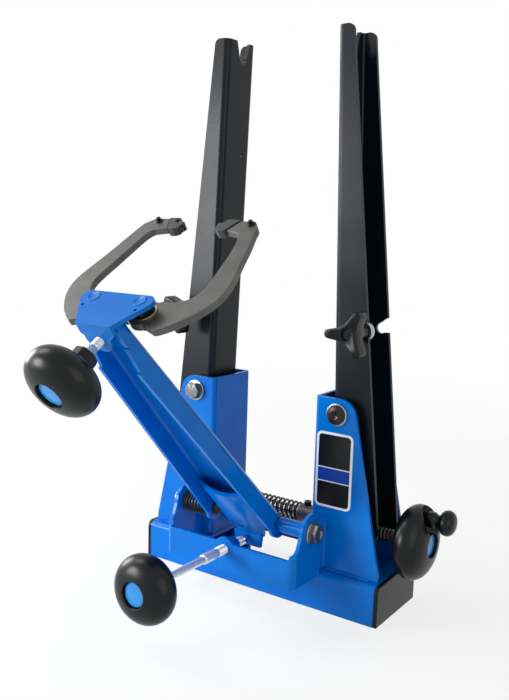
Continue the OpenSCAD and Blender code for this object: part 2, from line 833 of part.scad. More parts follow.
module jaw_tip_screw() {
    color(black) head_frame() translate([40.8, 98.8, jaw_top]) {
        cylinder(h = 0.9, r = 2.9);
        cylinder(h = 3.2, r = 1.7);
    }
}
module jaw_tip_screw_right() { jaw_tip_screw(); }
module jaw_tip_screw_left() {
    mirror([1, 0, 0]) jaw_tip_screw();
    color(black) head_frame() translate([-24.3, 99.8, tip_top]) cylinder(h = 1.2, r = 1.6);
}

// ---------------------------------------------------------------- uprights
function flange_x(z) = web_x + depth_at_bolt - depth_taper * z;

module upright_side2() {
    top_r = 5;
    foot_up = upright_foot + 16;
    polygon([
        [web_x - 1, upright_foot], [flange_x(foot_up) - 7, upright_foot],
        [flange_x(foot_up), foot_up],
        [flange_x(upright_above - top_r), upright_above - top_r],
        [flange_x(upright_above) - top_r, upright_above], [web_x - 1, upright_above]
    ]);
    translate([flange_x(upright_above - top_r) - top_r, upright_above - top_r])
        circle(r = top_r);
}

module axle_notch2() {
    floor_z = upright_above - axle_depth + axle_r;
    translate([axle_y, floor_z]) circle(r = axle_r);
    polygon([
        [axle_y - axle_r * 0.98, floor_z + 0.5], [axle_y + axle_r * 0.98, floor_z + 0.5],
        [axle_y + axle_mouth, upright_above + 0.1], [axle_y + axle_mouth, upright_above + 2],
        [axle_y - axle_mouth, upright_above + 2], [axle_y - axle_mouth, upright_above + 0.1]
    ]);
}

// hooked notch in both flanges at the clamp
module hook2(at) {
    translate(at) circle(r = hook_r);
    translate(at) polygon([[0, -3.6], [12, -3.2], [12, 9.5], [4, 7.6], [-3.6, 2.2], [0, 0]]);
}

// place of a shaft nut in the upright's own frame
function to_upright(x, z) =
    let (c = cos(upright_lean), s = sin(upright_lean), dx = x - tilt_x, dz = z - tilt_z)
    [dx * c + dz * s, -dx * s + dz * c];

module upright(clamp_at) {
    n = to_upright(nut_x, shaft_z);
    y0 = upright_face(-1);
    y1 = upright_face(1);
    color(black) upright_frame() difference() {
        intersection() {
            translate([web_x, 0, upright_foot]) linear_extrude(upright_above - upright_foot)
                channel2(y0, y1, 50, sheet, upright_bend);
            translate([0, 40, 0]) rotate([90, 0, 0]) linear_extrude(80) upright_side2();
        }
        rod_y(-40, 40, tilt_bolt_r + fit);
        // axle notch and locating hole through the web
        translate([web_x - 1, 0, 0]) rotate([90, 0, 90]) linear_extrude(sheet + 2) axle_notch2();
        rod_x(web_x - 1, web_x + sheet + 1, 2, 8.5, 198);
        // slot for the shaft, and slots that carry the nut's trunnions
        translate([web_x - 1, 0, n.y]) rotate([90, 0, 90])
            linear_extrude(sheet + 2) slot2(shaft_r + 0.8, 5);
        translate([n.x, 40, n.y]) rotate([90, 0, 0])
            linear_extrude(80) slot2(trunnion_r + gap, 5);
        translate([0, 40, 0]) rotate([90, 0, 0]) linear_extrude(80) hook2(clamp_at);
    }
}
module upright_right() { upright(clamp_at_right); }
module upright_left() { mirror([1, 0, 0]) upright(clamp_at_left); }

module shaft_nut() {
    color(zinc) difference() {
        union() {
            rod_y(upright_face(-1) + sheet + gap, upright_face(1) - sheet - gap,
                  nut_r, nut_x, shaft_z);
            rod_y(upright_face(-1) + 0.2, upright_face(1) - 0.2, trunnion_r, nut_x, shaft_z);
        }
        rod_x(nut_x - 12, nut_x + 12, shaft_r + fit, 0, shaft_z);
    }
}
module shaft_nut_right() { shaft_nut(); }
module shaft_nut_left() { mirror([1, 0, 0]) shaft_nut(); }

// ---------------------------------------------------------------- crank
module cross_shaft() {
    color(zinc) rod_x(shaft_end_left, shaft_end_right, shaft_r, 0, shaft_z);
}

set_x = 31;
set_r = 3;
module shaft_collar() {
    color(cast) difference() {
        rod_x(collar_x[0], collar_x[1], collar_r, 0, shaft_z);
        rod_x(collar_x[0] - 1, collar_x[1] + 1, shaft_r, 0, shaft_z);
        translate([set_x, 0, shaft_z]) cylinder(h = 20, r = set_r);
    }
}

module collar_screw() {
    color(black) translate([set_x, 0, shaft_z + shaft_r]) difference() {
        cylinder(h = 6.2, r = set_r);
        translate([0, 0, 4]) hex(4, 3);
    }
}

scoop_r = 14;
module crank_disc() {
    color(black) translate([crank_x, 0, shaft_z]) difference() {
        rotate([0, 90, 0]) rotate_extrude() polygon(puck(crank_r, crank_half, 0.72, 28));
        rod_x(-crank_half - 1, shaft_end_right - crank_x, shaft_r);
        rod_x(crank_half - recess, crank_half + 2, inlay_r + 0.5);
        translate([14, crank_pin_y, crank_pin_z - shaft_z + 1]) sphere(r = scoop_r);
        rod_x(-4, 30, crank_pin_r, crank_pin_y, crank_pin_z - shaft_z);
    }
}
module crank_inlay() {
    color(blue) translate([crank_x + crank_half - recess, 0, shaft_z]) rotate([0, 90, 0])
        inlay(inlay_r);
}

crank_pin_r = 3;
module crank_stud() {
    color(zinc) rod_x(crank_x - 4, grip_end_x, crank_pin_r, crank_pin_y, crank_pin_z);
}

grip_end_half = 6.2;
module crank_grip() {
    end = grip_end_x - grip_x;
    color(black) translate([grip_x, crank_pin_y, crank_pin_z]) rotate([0, 90, 0])
        difference() {
            rotate_extrude() polygon(concat(
                [[0, 0], [5, 0], [5.2, 3.4], [6, 4.2], [6.2, 7], [6, 9.6], [4.9, 10.6], [4.7, 12.6]],
                [for (i = [0:16]) let (a = -64 + 154 * i / 16)
                    [grip_r * pow(cos(a), 0.72), end + grip_end_half * sin(a)]]));
            translate([0, 0, -1]) cylinder(h = end + 1.4, r = crank_pin_r + fit);
        }
}

// ---------------------------------------------------------------- three-lobed clamps
clamp_face = upright_face(-1);
clamp_back = -28;
clamp_front = -40;
clamp_stud_r = 3;
lobe_r = 3.6;
lobe_tip = 19;
module clamp_place(at) { upright_frame() translate([at.x, 0, at.y]) children(); }

module clamp_knob(at, turn) {
    color(black) clamp_place(at) difference() {
        union() {
            translate([0, clamp_back, 0]) rotate([90, 0, 0])
                linear_extrude(clamp_back - clamp_front) {
                    circle(r = 8);
                    for (a = [0, 120, 240]) rotate(a + turn) {
                        translate([lobe_tip - lobe_r, 0]) circle(r = lobe_r);
                        polygon([[0, -6], [lobe_tip - lobe_r, -lobe_r],
                                 [lobe_tip - lobe_r, lobe_r], [0, 6]]);
                    }
                }
            rod_y(clamp_back - 1, clamp_face - fit, 6.6);
        }
        rod_y(clamp_front - 1, clamp_front + 2, 4.2);
        rod_y(clamp_front + 3, clamp_face + 1, clamp_stud_r);
    }
}
module clamp_knob_right() { clamp_knob(clamp_at_right, 60); }
module clamp_knob_left() { mirror([1, 0, 0]) clamp_knob(clamp_at_left, 30); }

module clamp_stud(at) {
    color(zinc) clamp_place(at) rod_y(clamp_front + 3, clamp_face + 17, clamp_stud_r);
}
module clamp_stud_right() { clamp_stud(clamp_at_right); }
module clamp_stud_left() { mirror([1, 0, 0]) clamp_stud(clamp_at_left); }

module clamp_pad(at) {
    y0 = clamp_face + sheet + gap;
    color(zinc) clamp_place(at) difference() {
        rod_y(y0, y0 + 5, 8);
        rod_y(y0 - 1, y0 + 6, clamp_stud_r + fit);
    }
}
module clamp_pad_right() { clamp_pad(clamp_at_right); }
module clamp_pad_left() { mirror([1, 0, 0]) clamp_pad(clamp_at_left); }

base_beam();
end_caps();
front_box();
bracket_left();
bracket_right();
label_plate();
shaft_bushes();
shaft_spring();
spring_seat();
tilt_bolts();
tilt_spacers();
tilt_nuts();
arm_pivot_bolts();
arm_pivot_sleeves();
depth_nut();
depth_tip();
depth_rod();
depth_knob();
depth_knob_inlay();
arm();
arm_push_plate();
arm_pivot_clips();
arm_spring();
head_plate();
jaw_screw_nut();
jaw_pins();
jaw_pin_nuts();
jaw_spacers();
jaw_washers();
jaw_yoke();
jaw_screw();
jaw_knob();
jaw_knob_inlay();
jaw_left();
jaw_tip_left();
jaw_nose_left();
jaw_tail_pin_left();
jaw_tip_screw_left();
jaw_right();
jaw_tip_right();
jaw_nose_right();
jaw_tail_pin_right();
jaw_tip_screw_right();
upright_left();
upright_right();
shaft_nut_left();
shaft_nut_right();
cross_shaft();
shaft_collar();
collar_screw();
crank_disc();
crank_inlay();
crank_stud();
crank_grip();
clamp_pad_left();
clamp_stud_left();
clamp_knob_left();
clamp_pad_right();
clamp_stud_right();
clamp_knob_right();
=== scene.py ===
"""Looks of a bicycle wheel truing stand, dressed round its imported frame.

Every length inside the classes is in millimetres, in the same frame as the solids: +X to the
crank side, -Y towards the operator, +Z up. Meshes are written in metres. Heights along a part
that is turned are counted along its own axis.
"""

import json
import logging
import math
from collections.abc import Sequence
from dataclasses import dataclass
from enum import Enum
from functools import cached_property
from typing import Any, ClassVar

import bmesh
import bpy
import numpy as np
from mathutils import Matrix, Vector

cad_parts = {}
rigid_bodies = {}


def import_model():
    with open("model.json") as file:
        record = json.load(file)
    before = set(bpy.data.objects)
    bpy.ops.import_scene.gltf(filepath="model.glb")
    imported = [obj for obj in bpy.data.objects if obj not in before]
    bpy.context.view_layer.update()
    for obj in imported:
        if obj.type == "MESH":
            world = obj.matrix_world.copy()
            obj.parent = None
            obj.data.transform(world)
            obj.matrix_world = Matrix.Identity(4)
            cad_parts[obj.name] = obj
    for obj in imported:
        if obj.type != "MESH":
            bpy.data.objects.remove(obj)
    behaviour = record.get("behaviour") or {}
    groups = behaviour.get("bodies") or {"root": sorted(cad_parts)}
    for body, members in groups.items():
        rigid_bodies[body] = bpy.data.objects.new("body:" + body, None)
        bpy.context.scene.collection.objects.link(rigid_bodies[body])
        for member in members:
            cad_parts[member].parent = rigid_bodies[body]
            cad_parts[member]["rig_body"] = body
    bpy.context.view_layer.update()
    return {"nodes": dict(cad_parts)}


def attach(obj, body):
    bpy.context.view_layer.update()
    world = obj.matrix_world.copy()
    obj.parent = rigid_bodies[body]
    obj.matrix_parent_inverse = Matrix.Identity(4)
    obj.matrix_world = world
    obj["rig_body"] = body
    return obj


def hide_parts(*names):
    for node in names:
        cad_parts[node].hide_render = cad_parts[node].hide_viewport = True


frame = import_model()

log = logging.getLogger("truing_stand")

Array = np.ndarray
Pair = tuple[float, float]
Triple = tuple[float, float, float]
Colour = tuple[float, float, float, float]
Rings = list[tuple[Any, Any]]

MM = 0.001
M8 = 4.0  # radius of the stand's large bolts
M8_HEX = 13.0  # width of their heads and nuts across the flats
M8_HEAD = 5.3  # height of their hexagon heads
M8_THREAD = (0.5, 1.25)  # depth and pitch of their thread
CONE = 1.73  # rise of the cone that cuts a hexagon's corners, for each unit of radius
LENS = 0.72  # exponent of the knobs' lens shape
NUTTED, SET_IN, TURNED, WOUND = 25.0, 30.0, 35.0, 60.0  # angles above which edges stay crisp


# ------------------------------------------------------------------ places
@dataclass(frozen=True)
class Place:
    """A local frame of the stand: a point is carried to origin + axes @ point."""

    origin: Triple
    axes: Array

    def carry(self, points: Array) -> Array:
        """Returns local points (n, 3) in the stand's frame."""
        return np.asarray(self.origin) + points @ self.axes.T

    def mirrored(self) -> "Place":
        """Returns this place reflected to the other side of the stand."""
        flip = np.diag([-1.0, 1.0, 1.0])
        return Place(tuple(flip @ np.asarray(self.origin)), flip @ self.axes)

    def moved(self, x: float, y: float, z: float, axes: Array | None = None) -> "Place":
        """Returns a place set at a local point, with its own local axes if given.

        Args:
            x: First coordinate of the point in this place.
            y: Second coordinate.
            z: Third coordinate.
            axes: Axes of the new place, seen from this one.

        Returns:
            The new place, in the stand's frame.
        """
        turned = self.axes if axes is None else self.axes @ axes
        return Place(tuple(self.carry(np.array([[x, y, z]]))[0]), turned)


def turn(axis: str, degrees: float) -> Array:
    """Returns the right-handed turn about a named axis as a 3 by 3 matrix."""
    return np.array(Matrix.Rotation(math.radians(degrees), 3, axis))


STAND = Place((0.0, 0.0, 0.0), np.eye(3))
HEAD = Place((0.0, -194.8, 250.8), turn("X", 34.4))
UPRIGHT = Place((68.6, 0.0, 157.0), turn("Y", -2.0))
TO_X = turn("Y", 90.0)
TO_FRONT = turn("X", 90.0)
TO_BACK = turn("X", -90.0)


# ------------------------------------------------------------------ shapes
@dataclass
class Shape:
    """Points (n, 3) in millimetres and faces as tuples of point numbers."""

    points: Array
    faces: list[tuple[int, ...]]

    def __add__(self, other: "Shape") -> "Shape":
        """Returns both shapes as one."""
        moved = [tuple(i + len(self.points) for i in face) for face in other.faces]
        return Shape(np.vstack([self.points, other.points]), self.faces + moved)

    def at(self, place: Place) -> "Shape":
        """Returns the shape carried to a place, its faces still outwards."""
        order = -1 if np.linalg.det(place.axes) < 0 else 1
        return Shape(place.carry(self.points), [face[::order] for face in self.faces])


def around(steps: int) -> Array:
    """Returns that many even angles of a full turn, from 0."""
    return np.arange(steps) * (2 * np.pi / steps)


def bands(rows: Sequence[Array]) -> list[tuple[int, ...]]:
    """Joins neighbouring closed rows of points with faces.

    Args:
        rows: Point numbers of each row, all of one length. A pole repeats its one number.

    Returns:
        Quads, or triangles next to a pole.
    """
    faces: list[tuple[int, ...]] = []
    for low, high in zip(rows[:-1], rows[1:]):
        quads = np.stack([low, np.roll(low, -1), np.roll(high, -1), high], 1)
        if low[0] == low[1]:
            quads = quads[:, [0, 2, 3]]
        elif high[0] == high[1]:
            quads = quads[:, :3]
        faces += [tuple(q) for q in quads.tolist()]
    return faces


def lathe(rings: Rings, steps: int = 64, closed: bool = False) -> Shape:
    """Turns a list of rings about +Z.

    A ring is (radius, height); either may be an array over the angle, so a ring can be a
    hexagon or a lobe. Points are (r cos a, r sin a, z). A ring of radius 0 becomes one pole.

    Args:
        rings: Rings in order, running so that the faces point outwards: up the outside.
        steps: Points in a ring.
        closed: Whether the last ring joins the first, as in a washer.

    Returns:
        The turned shape.
    """
    angle = around(steps)
    points: list[Array] = []
    rows: list[Array] = []
    count = 0
    for radius, height in rings:
        pole = np.isscalar(radius) and radius == 0
        a = angle[:1] if pole else angle
        ring = np.stack([radius * np.cos(a), radius * np.sin(a), height + 0 * a], 1)
        points.append(ring)
        rows.append(np.full(steps, count) if pole else count + np.arange(steps))
        count += len(ring)
    if closed:
        rows.append(rows[0])
    return Shape(np.vstack(points), bands(rows))


def loft(sections: Array) -> Shape:
    """Joins closed sections (rows, sides, 3) in order, and closes both ends flat."""
    rows = np.arange(sections.shape[0] * sections.shape[1]).reshape(sections.shape[:2])
    ends = [tuple(rows[0, ::-1].tolist()), tuple(rows[-1].tolist())]
    return Shape(sections.reshape(-1, 3), bands(rows) + ends)


def plate(levels: Sequence[tuple[Array, float]]) -> Shape:
    """Stacks outlines (n, 2), anticlockwise, at their heights: (x, y, z)."""
    return loft(np.stack([np.column_stack([flat, np.full(len(flat), z)]) for flat, z in levels]))


def tube(path: Array, wire: Any, ref: Array, sides: int = 12) -> Shape:
    """Carries a circle along a path: p + w (cos k u + sin k v), u and v square to the path.

    Args:
        path: Points (n, 3) along the middle.
        wire: Radius, one number or one for each point.
        ref: Directions (n, 3) that u leans towards, never along the path.
        sides: Points round the tube.

    Returns:
        A closed tube with flat ends.
    """
    t = np.gradient(path, axis=0)
    t /= np.linalg.norm(t, axis=1, keepdims=True)
    u = ref - t * np.sum(ref * t, 1, keepdims=True)
    u /= np.linalg.norm(u, axis=1, keepdims=True)
    v = np.cross(t, u)
    k = around(sides)
    w = np.broadcast_to(np.asarray(wire, float), (len(path),))[:, None, None]
    circle = np.cos(k)[None, :, None] * u[:, None] + np.sin(k)[None, :, None] * v[:, None]
    return loft(path[:, None] + w * circle)


def coil(r: float, length: float, turns: float, wire: float) -> Shape:
    """Winds a spring along +Z from z = 0: (r cos a, r sin a, z). The height z is the running
    sum of a speed, 0.52 + 0.48 e^2 (3 - 2 e), where e falls from 1 to 0 over the last 1.1
    turns at each end, so that the end turns lie closer.

    Args:
        r: Radius to the middle of the wire.
        length: Height from the first to the last point of the wire's middle.
        turns: Number of turns.
        wire: Radius of the wire.

    Returns:
        The spring.
    """
    per_turn, end_turns, slow = 36, 1.1, 0.52
    t = np.linspace(0, 1, int(turns * per_turn) + 1)
    ease = np.clip(np.minimum(t, 1 - t) * turns / end_turns, 0, 1)
    speed = slow + (1 - slow) * ease * ease * (3 - 2 * ease)
    z = np.concatenate([[0], np.cumsum((speed[1:] + speed[:-1]) / 2)])
    z *= length / z[-1]
    a = 2 * np.pi * turns * t
    radial = np.stack([np.cos(a), np.sin(a), 0 * a], 1)
    return tube(radial * r + np.stack([0 * a, 0 * a, z], 1), wire, radial)


def thread(r: float, depth: float, pitch: float, z0: float, z1: float) -> Shape:
    """A screw thread along +Z: r(a, z) = r - depth * tooth(z / pitch - a / 2 pi), where the
    tooth is a triangle wave, flattened at its crest and root; its ends run out to a chamfer.

    Args:
        r: Radius over the crests.
        depth: Depth of the thread.
        pitch: Rise in one turn.
        z0: Height of its lower end.
        z1: Height of its upper end.

    Returns:
        The threaded bar.
    """
    steps, per_pitch, flat = 28, 8, 0.12
    rows = int((z1 - z0) / pitch * per_pitch) + 1
    z = np.linspace(z0, z1, rows)
    wave = np.abs(((z[:, None] / pitch - around(steps)[None] / (2 * np.pi)) % 1) * 2 - 1)
    wave = np.clip((wave - flat) / (1 - 2 * flat), 0, 1)
    near = np.minimum(z - z0, z1 - z)[:, None]
    radius = r - depth * np.maximum(wave, 1 - np.clip(near / (pitch * 0.9), 0, 1))
    return lathe([(0, z0)] + [(radius[i], z[i]) for i in range(rows)] + [(0, z1)], steps)


def hex_radius(across: float, steps: int, sides: int = 6) -> Array:
    """Returns the radius of a regular polygon over the angle: half its width across flats
    over the cosine of the angle from the nearest flat."""
    sector = 2 * np.pi / sides
    return across / 2 / np.cos((around(steps) + sector / 2) % sector - sector / 2)


def arc(cx: float, cz: float, r: float, a0: float, a1: float, n: int) -> Rings:
    """Returns n + 1 rings along an arc round (cx, cz), from angle a0 to a1 in degrees."""
    t = np.radians(np.linspace(a0, a1, n + 1))
    return [(cx + r * math.cos(a), cz + r * math.sin(a)) for a in t]


def bar(r: float, low: float, high: float, foot: float = 0.0, top: float = 0.0) -> Rings:
    """Returns the rings of a round bar with flat ends.

    Args:
        r: Radius.
        low: Height of its lower end.
        high: Height of its upper end.
        foot: Width of the chamfer at the lower end, 0 for none.
        top: Width of the chamfer at the upper end.

    Returns:
        Its rings, from pole to pole.
    """
    edges: Rings = [(r, low + foot)] * bool(foot) + [(r, high - top)] * bool(top)
    return [(0, low), (r - foot, low), *edges, (r - top, high), (0, high)]


def lens(radius: float, half: float, angles: Array, middle: float = 0.0) -> Rings:
    """Returns rings (R cos^0.72 a, middle + H sin a), fuller at the rim than an ellipse."""
    return [(radius * math.cos(a) ** LENS, middle + half * math.sin(a)) for a in angles]


def lens_angle(share: float) -> float:
    """Returns the angle at which a lens has that share of its full radius, in radians."""
    return math.acos(share ** (1 / LENS))


def washer(outer: float, inner: float, z0: float, z1: float, soft: float = 0.25) -> Shape:
    """A flat ring along +Z with its four edges rounded.

    Args:
        outer: Outer radius.
        inner: Radius of its hole.
        z0: Height of its lower face.
        z1: Height of its upper face.
        soft: Radius of the rounded edges.

    Returns:
        The ring.
    """
    rings = (
        arc(inner + soft, z0 + soft, soft, 180, 270, 2)
        + arc(outer - soft, z0 + soft, soft, -90, 0, 3)
        + arc(outer - soft, z1 - soft, soft, 0, 90, 3)
        + arc(inner + soft, z1 - soft, soft, 90, 180, 2)
    )
    return lathe(rings, closed=True)


def nut(across: float, bore: float, height: float) -> Shape:
    """A hexagon nut along +Z: the smaller of the hexagon's radius and a 30 degree cone's.

    Args:
        across: Width across flats.
        bore: Radius of its hole.
        height: Height of the nut.

    Returns:
        The nut.
    """
    steps, inset, bevel = 72, 0.2, 0.4
    flat = hex_radius(across, steps)
    rings: Rings = [(bore, 0.0), (across / 2 - inset, 0.0)]
    for z in np.linspace(0, height, 15):
        rings.append((np.minimum(flat, across / 2 + min(z, height - z) * CONE), z))
    rings += [(across / 2 - inset, height), (bore + bevel, height), (bore, height - bevel)]
    return lathe(rings, steps, closed=True)


def socket_head(r: float, height: float, dome: float, key: float, deep: float) -> Shape:
    """A round screw head along +Z with a hexagon socket: a rounded barrel, a domed top and a
    socket whose ring passes from a circle to the hexagon.

    Args:
        r: Radius of the head.
        height: Its full height.
        dome: Rise of its top.
        key: Width of the socket across flats.
        deep: Depth of the socket.

    Returns:
        The head.
    """
    steps, soft = 72, 1.1
    hexagon = hex_radius(key, steps)
    rim = key / 2 / math.cos(math.pi / 6) + 0.45
    rings: Rings = [(0, 0.0), (r - 0.3, 0.0), (r, 0.3)]
    rings += arc(r - soft, height - dome - soft, soft, 0, 62, 5)
    r0, z0 = rings[-1]
    for t in np.linspace(0.15, 1, 7):
        rings.append((r0 + (rim - r0) * t, z0 + (height - z0) * math.sin(t * math.pi / 2)))
    rings += [(hexagon, height - 0.35), (hexagon, height - deep)]
    rings.append((0, height - deep - key * 0.2))
    return lathe(rings, steps)


def hex_head(across: float, height: float, turned: float = 0.0, dish: float = 0.0) -> Shape:
    """A hexagon head along +Z with its top corners cut by a cone.

    Args:
        across: Width across flats.
        height: Height of the head.
        turned: Angle of its first flat, in degrees.
        dish: Radius of a shallow dish in its top, 0 for none.

    Returns:
        The head.
    """
    steps = 72
    flat = np.roll(hex_radius(across, steps), round(turned * steps / 360))
    rings: Rings = [(0, 0.0), (flat, 0.0)]
    for z in np.linspace(height * 0.4, height, 9):
        rings.append((np.minimum(flat, across / 2 + (height - z) * CONE), z))
    if dish:
        rings += [(dish + 0.4, height), (dish, height - 0.3), (dish * 0.6, height - 1.1)]
    return lathe(rings + [(0, height - (1.3 if dish else -0.1))], steps)


# ------------------------------------------------------------------ shader maths
class Wire:
    """A socket of a node tree that can be used in arithmetic."""

    def __init__(self, tree: "Tree", socket: bpy.types.NodeSocket) -> None:
        """Keeps the socket and the tree that it belongs to."""
        self.tree = tree
        self.socket = socket

    def _maths(self, operation: str, *values: Any) -> "Wire":
        """Adds one Math node."""
        return self.tree.node("ShaderNodeMath", {"operation": operation}, *values)

    def __add__(self, other: Any) -> "Wire":
        """Sum."""
        return self._maths("ADD", self, other)

    __radd__ = __add__

    def __sub__(self, other: Any) -> "Wire":
        """Difference."""
        return self._maths("SUBTRACT", self, other)

    def __rsub__(self, other: Any) -> "Wire":
        """Difference, the other way."""
        return self._maths("SUBTRACT", other, self)

    def __mul__(self, other: Any) -> "Wire":
        """Product."""
        return self._maths("MULTIPLY", self, other)

    __rmul__ = __mul__

    def __truediv__(self, other: Any) -> "Wire":
        """Quotient."""
        return self._maths("DIVIDE", self, other)

    def __rtruediv__(self, other: Any) -> "Wire":
        """Quotient, the other way."""
        return self._maths("DIVIDE", other, self)

    def __pow__(self, other: Any) -> "Wire":
        """Power."""
        return self._maths("POWER", self, other)

    def __rpow__(self, other: Any) -> "Wire":
        """Power, the other way."""
        return self._maths("POWER", other, self)

    def __abs__(self) -> "Wire":
        """Size without sign."""
        return self._maths("ABSOLUTE", self)

    def held(self, low: float = 0.0, high: float = 1.0) -> "Wire":
        """This value kept between two limits."""
        return self._maths("MINIMUM", self._maths("MAXIMUM", self, low), high)

    def step(self, edge: float, width: float) -> "Wire":
        """Rises from 0 to 1 over a width centred on an edge."""
        return ((self - edge) / width + 0.5).held()


class Tree:
    """The nodes of a material or of the world, added through one method."""

    def __init__(self, owner: bpy.types.ID) -> None:
        """Empties the owner's node tree.

        Args:
            owner: The material or the world.
        """
        owner.use_nodes = True
        self.owner = owner
        self.nodes = owner.node_tree.nodes
        self.links = owner.node_tree.links
        self.nodes.clear()

    def node(
        self, kind: str, settings: dict[str, Any], *values: Any, output: Any = 0, **named: Any
    ) -> Wire:
        """Adds any node.

        Args:
            kind: The node's type.
            settings: Properties that are set before its sockets are filled.
            *values: Values or wires for its sockets, in order; None leaves one alone.
            output: Name or number of the socket to return.
            **named: Values or wires by socket name, with _ for a space.

        Returns:
            The chosen output.
        """
        made = self.nodes.new(kind)
        for key, value in settings.items():
            setattr(made, key, value)
        filled = list(zip(made.inputs, values))
        filled += [(made.inputs[key.replace("_", " ")], value) for key, value in named.items()]
        for socket, value in filled:
            if isinstance(value, Wire):
                self.links.new(value.socket, socket)
            elif value is not None:
                socket.default_value = value
        return Wire(self, made.outputs[output] if made.outputs else None)

    @cached_property
    def object(self) -> Wire:
        """The Object coordinates, from one node."""
        return self.node("ShaderNodeTexCoord", {}, output="Object")

    def axes(self) -> list[Wire]:
        """The three Object coordinates, each by itself."""
        split = self.node("ShaderNodeSeparateXYZ", {}, self.object).socket.node
        return [Wire(self, out) for out in split.outputs]

    def noise(self, scale: float, detail: float = 2.0, stretch: Sequence[float] = ()) -> Wire:
        """Adds smooth noise on the Object coordinates.

        Args:
            scale: Features in a metre.
            detail: Finer layers on top of the first.
            stretch: Factors for the three coordinates, none to leave them.

        Returns:
            The noise, about 0.5.
        """
        where = self.object
        if stretch:
            where = self.node("ShaderNodeMapping", {}, where, Scale=tuple(stretch))
        return self.node("ShaderNodeTexNoise", {}, Vector=where, Scale=scale, Detail=detail)

    def blend(self, part: Wire, low: Any, high: Any) -> Wire:
        """Mixes two colours by a factor; the five sockets between are for other kinds."""
        between = [None] * 5
        return self.node(
            "ShaderNodeMix", {"data_type": "RGBA"}, part, *between, low, high, output=2
        )

    def bump(self, height: Wire, depth_mm: float) -> Wire:
        """A bump of a real depth in millimetres."""
        return self.node(
            "ShaderNodeBump", {}, Strength=1.0, Distance=depth_mm * MM, Height=height
        )

    def seen(self) -> Wire:
        """Tells apart the rays that show a surface from those that light others.

        Returns:
            1 for rays of the camera and for mirrored and refracted ones, else 0.
        """
        seen = self.node("ShaderNodeLightPath", {}, output="Is Camera Ray")
        for ray in ("Is Glossy Ray", "Is Transmission Ray"):
            other = self.node("ShaderNodeLightPath", {}, output=ray)
            seen = self.node("ShaderNodeMath", {"operation": "MAXIMUM"}, seen, other)
        return seen

    def finish(self, **sockets: Any) -> bpy.types.Material:
        """Closes the tree with a Principled shader whose sockets are given by name."""
        shader = self.node("ShaderNodeBsdfPrincipled", {}, **sockets)
        self.node("ShaderNodeOutputMaterial", {}, shader)
        return self.owner


def rgb(*channels: float) -> Colour:
    """Returns an sRGB colour, its three channels from 0 to 255, as a linear colour with alpha:
    c / 12.92 up to 0.04045, and ((c + 0.055) / 1.055)^2.4 above."""
    parts = [c / 255 for c in channels]
    return (*(c / 12.92 if c <= 0.04045 else ((c + 0.055) / 1.055) ** 2.4 for c in parts), 1.0)


def scaled(colour: Colour, factor: float, lift: float = 0.0) -> Colour:
    """Returns a colour made paler or darker by a factor and a lift, at most white."""
    return (*(min(1.0, c * factor + lift) for c in colour[:3]), 1.0)


# ------------------------------------------------------------------ finishes
@dataclass(frozen=True)
class Finish:
    """A finish of the stand. Its material is made once."""

    name: str
    slot: str

    def material(self) -> bpy.types.Material:
        """Returns the finish's material."""
        found = bpy.data.materials.get(self.name)
        return found or self.mix(Tree(bpy.data.materials.new(self.name)))

    def mix(self, tree: Tree) -> bpy.types.Material:
        """Fills the material's tree."""
        raise NotImplementedError


@dataclass(frozen=True)
class Enamel(Finish):
    """Sprayed and baked paint: orange peel, faint mottling and a clear top coat."""

    colour: Colour
    deep: Colour
    roughness: float
    coat: float
    peel_mm: float
    gloss: float

    def mix(self, tree: Tree) -> bpy.types.Material:
        """Mottles the colour over 30 mm, and dimples the coat over 1.5 mm.

        Args:
            tree: The empty tree of the finish's material.

        Returns:
            The filled material.
        """
        cloud = tree.noise(34.0, 3.0).step(0.5, 0.5)
        fine = tree.noise(2600.0, 1.0)
        peel = tree.noise(620.0)
        return tree.finish(
            Base_Color=tree.blend(cloud, self.colour, self.deep),
            Roughness=self.roughness + (cloud - 0.5) * 0.05 + (fine - 0.5) * 0.06,
            Specular_IOR_Level=self.gloss,
            Coat_Weight=self.coat,
            Coat_Roughness=0.12,
            Normal=tree.bump(peel + fine * 0.3, self.peel_mm),
        )


@dataclass(frozen=True)
class Casting(Finish):
    """Dark phosphated steel: fine pitting and a metallic sheen, rubbed brighter in places."""

    colour: Colour
    bright: Colour
    metallic: float
    roughness: float
    pit_mm: float = 0.007

    def mix(self, tree: Tree) -> bpy.types.Material:
        """Rubs the colour over 12 mm, and pits the surface over half a millimetre.

        Args:
            tree: The empty tree of the finish's material.

        Returns:
            The filled material.
        """
        rub = tree.noise(85.0, 4.0).step(0.55, 0.35)
        grain = tree.noise(2100.0, 3.0)
        return tree.finish(
            Base_Color=tree.blend(rub * 0.45 + grain * 0.2, self.colour, self.bright),
            Metallic=self.metallic,
            Roughness=self.roughness + (grain - 0.5) * 0.08 - rub * 0.05,
            Normal=tree.bump(grain, self.pit_mm),
        )


@dataclass(frozen=True)
class Plated(Finish):
    """Bare or plated metal: tool marks along one axis and faint stains."""

    colour: Colour
    roughness: float
    marks: Triple
    mark_mm: float = 0.01
    metallic: float = 1.0

    def mix(self, tree: Tree) -> bpy.types.Material:
        """Draws fine marks stretched along an axis and stains over 8 mm.

        Args:
            tree: The empty tree of the finish's material.

        Returns:
            The filled material.
        """
        lines = tree.noise(900.0, 2.0, self.marks)
        stain = tree.noise(130.0, 3.0).step(0.55, 0.4)
        dark = scaled(self.colour, 0.72)
        return tree.finish(
            Base_Color=tree.blend(stain * 0.4 + lines * 0.25, self.colour, dark),
            Metallic=self.metallic,
            Roughness=self.roughness + (lines - 0.5) * 0.12 + stain * 0.05,
            Normal=tree.bump(lines, self.mark_mm),
        )


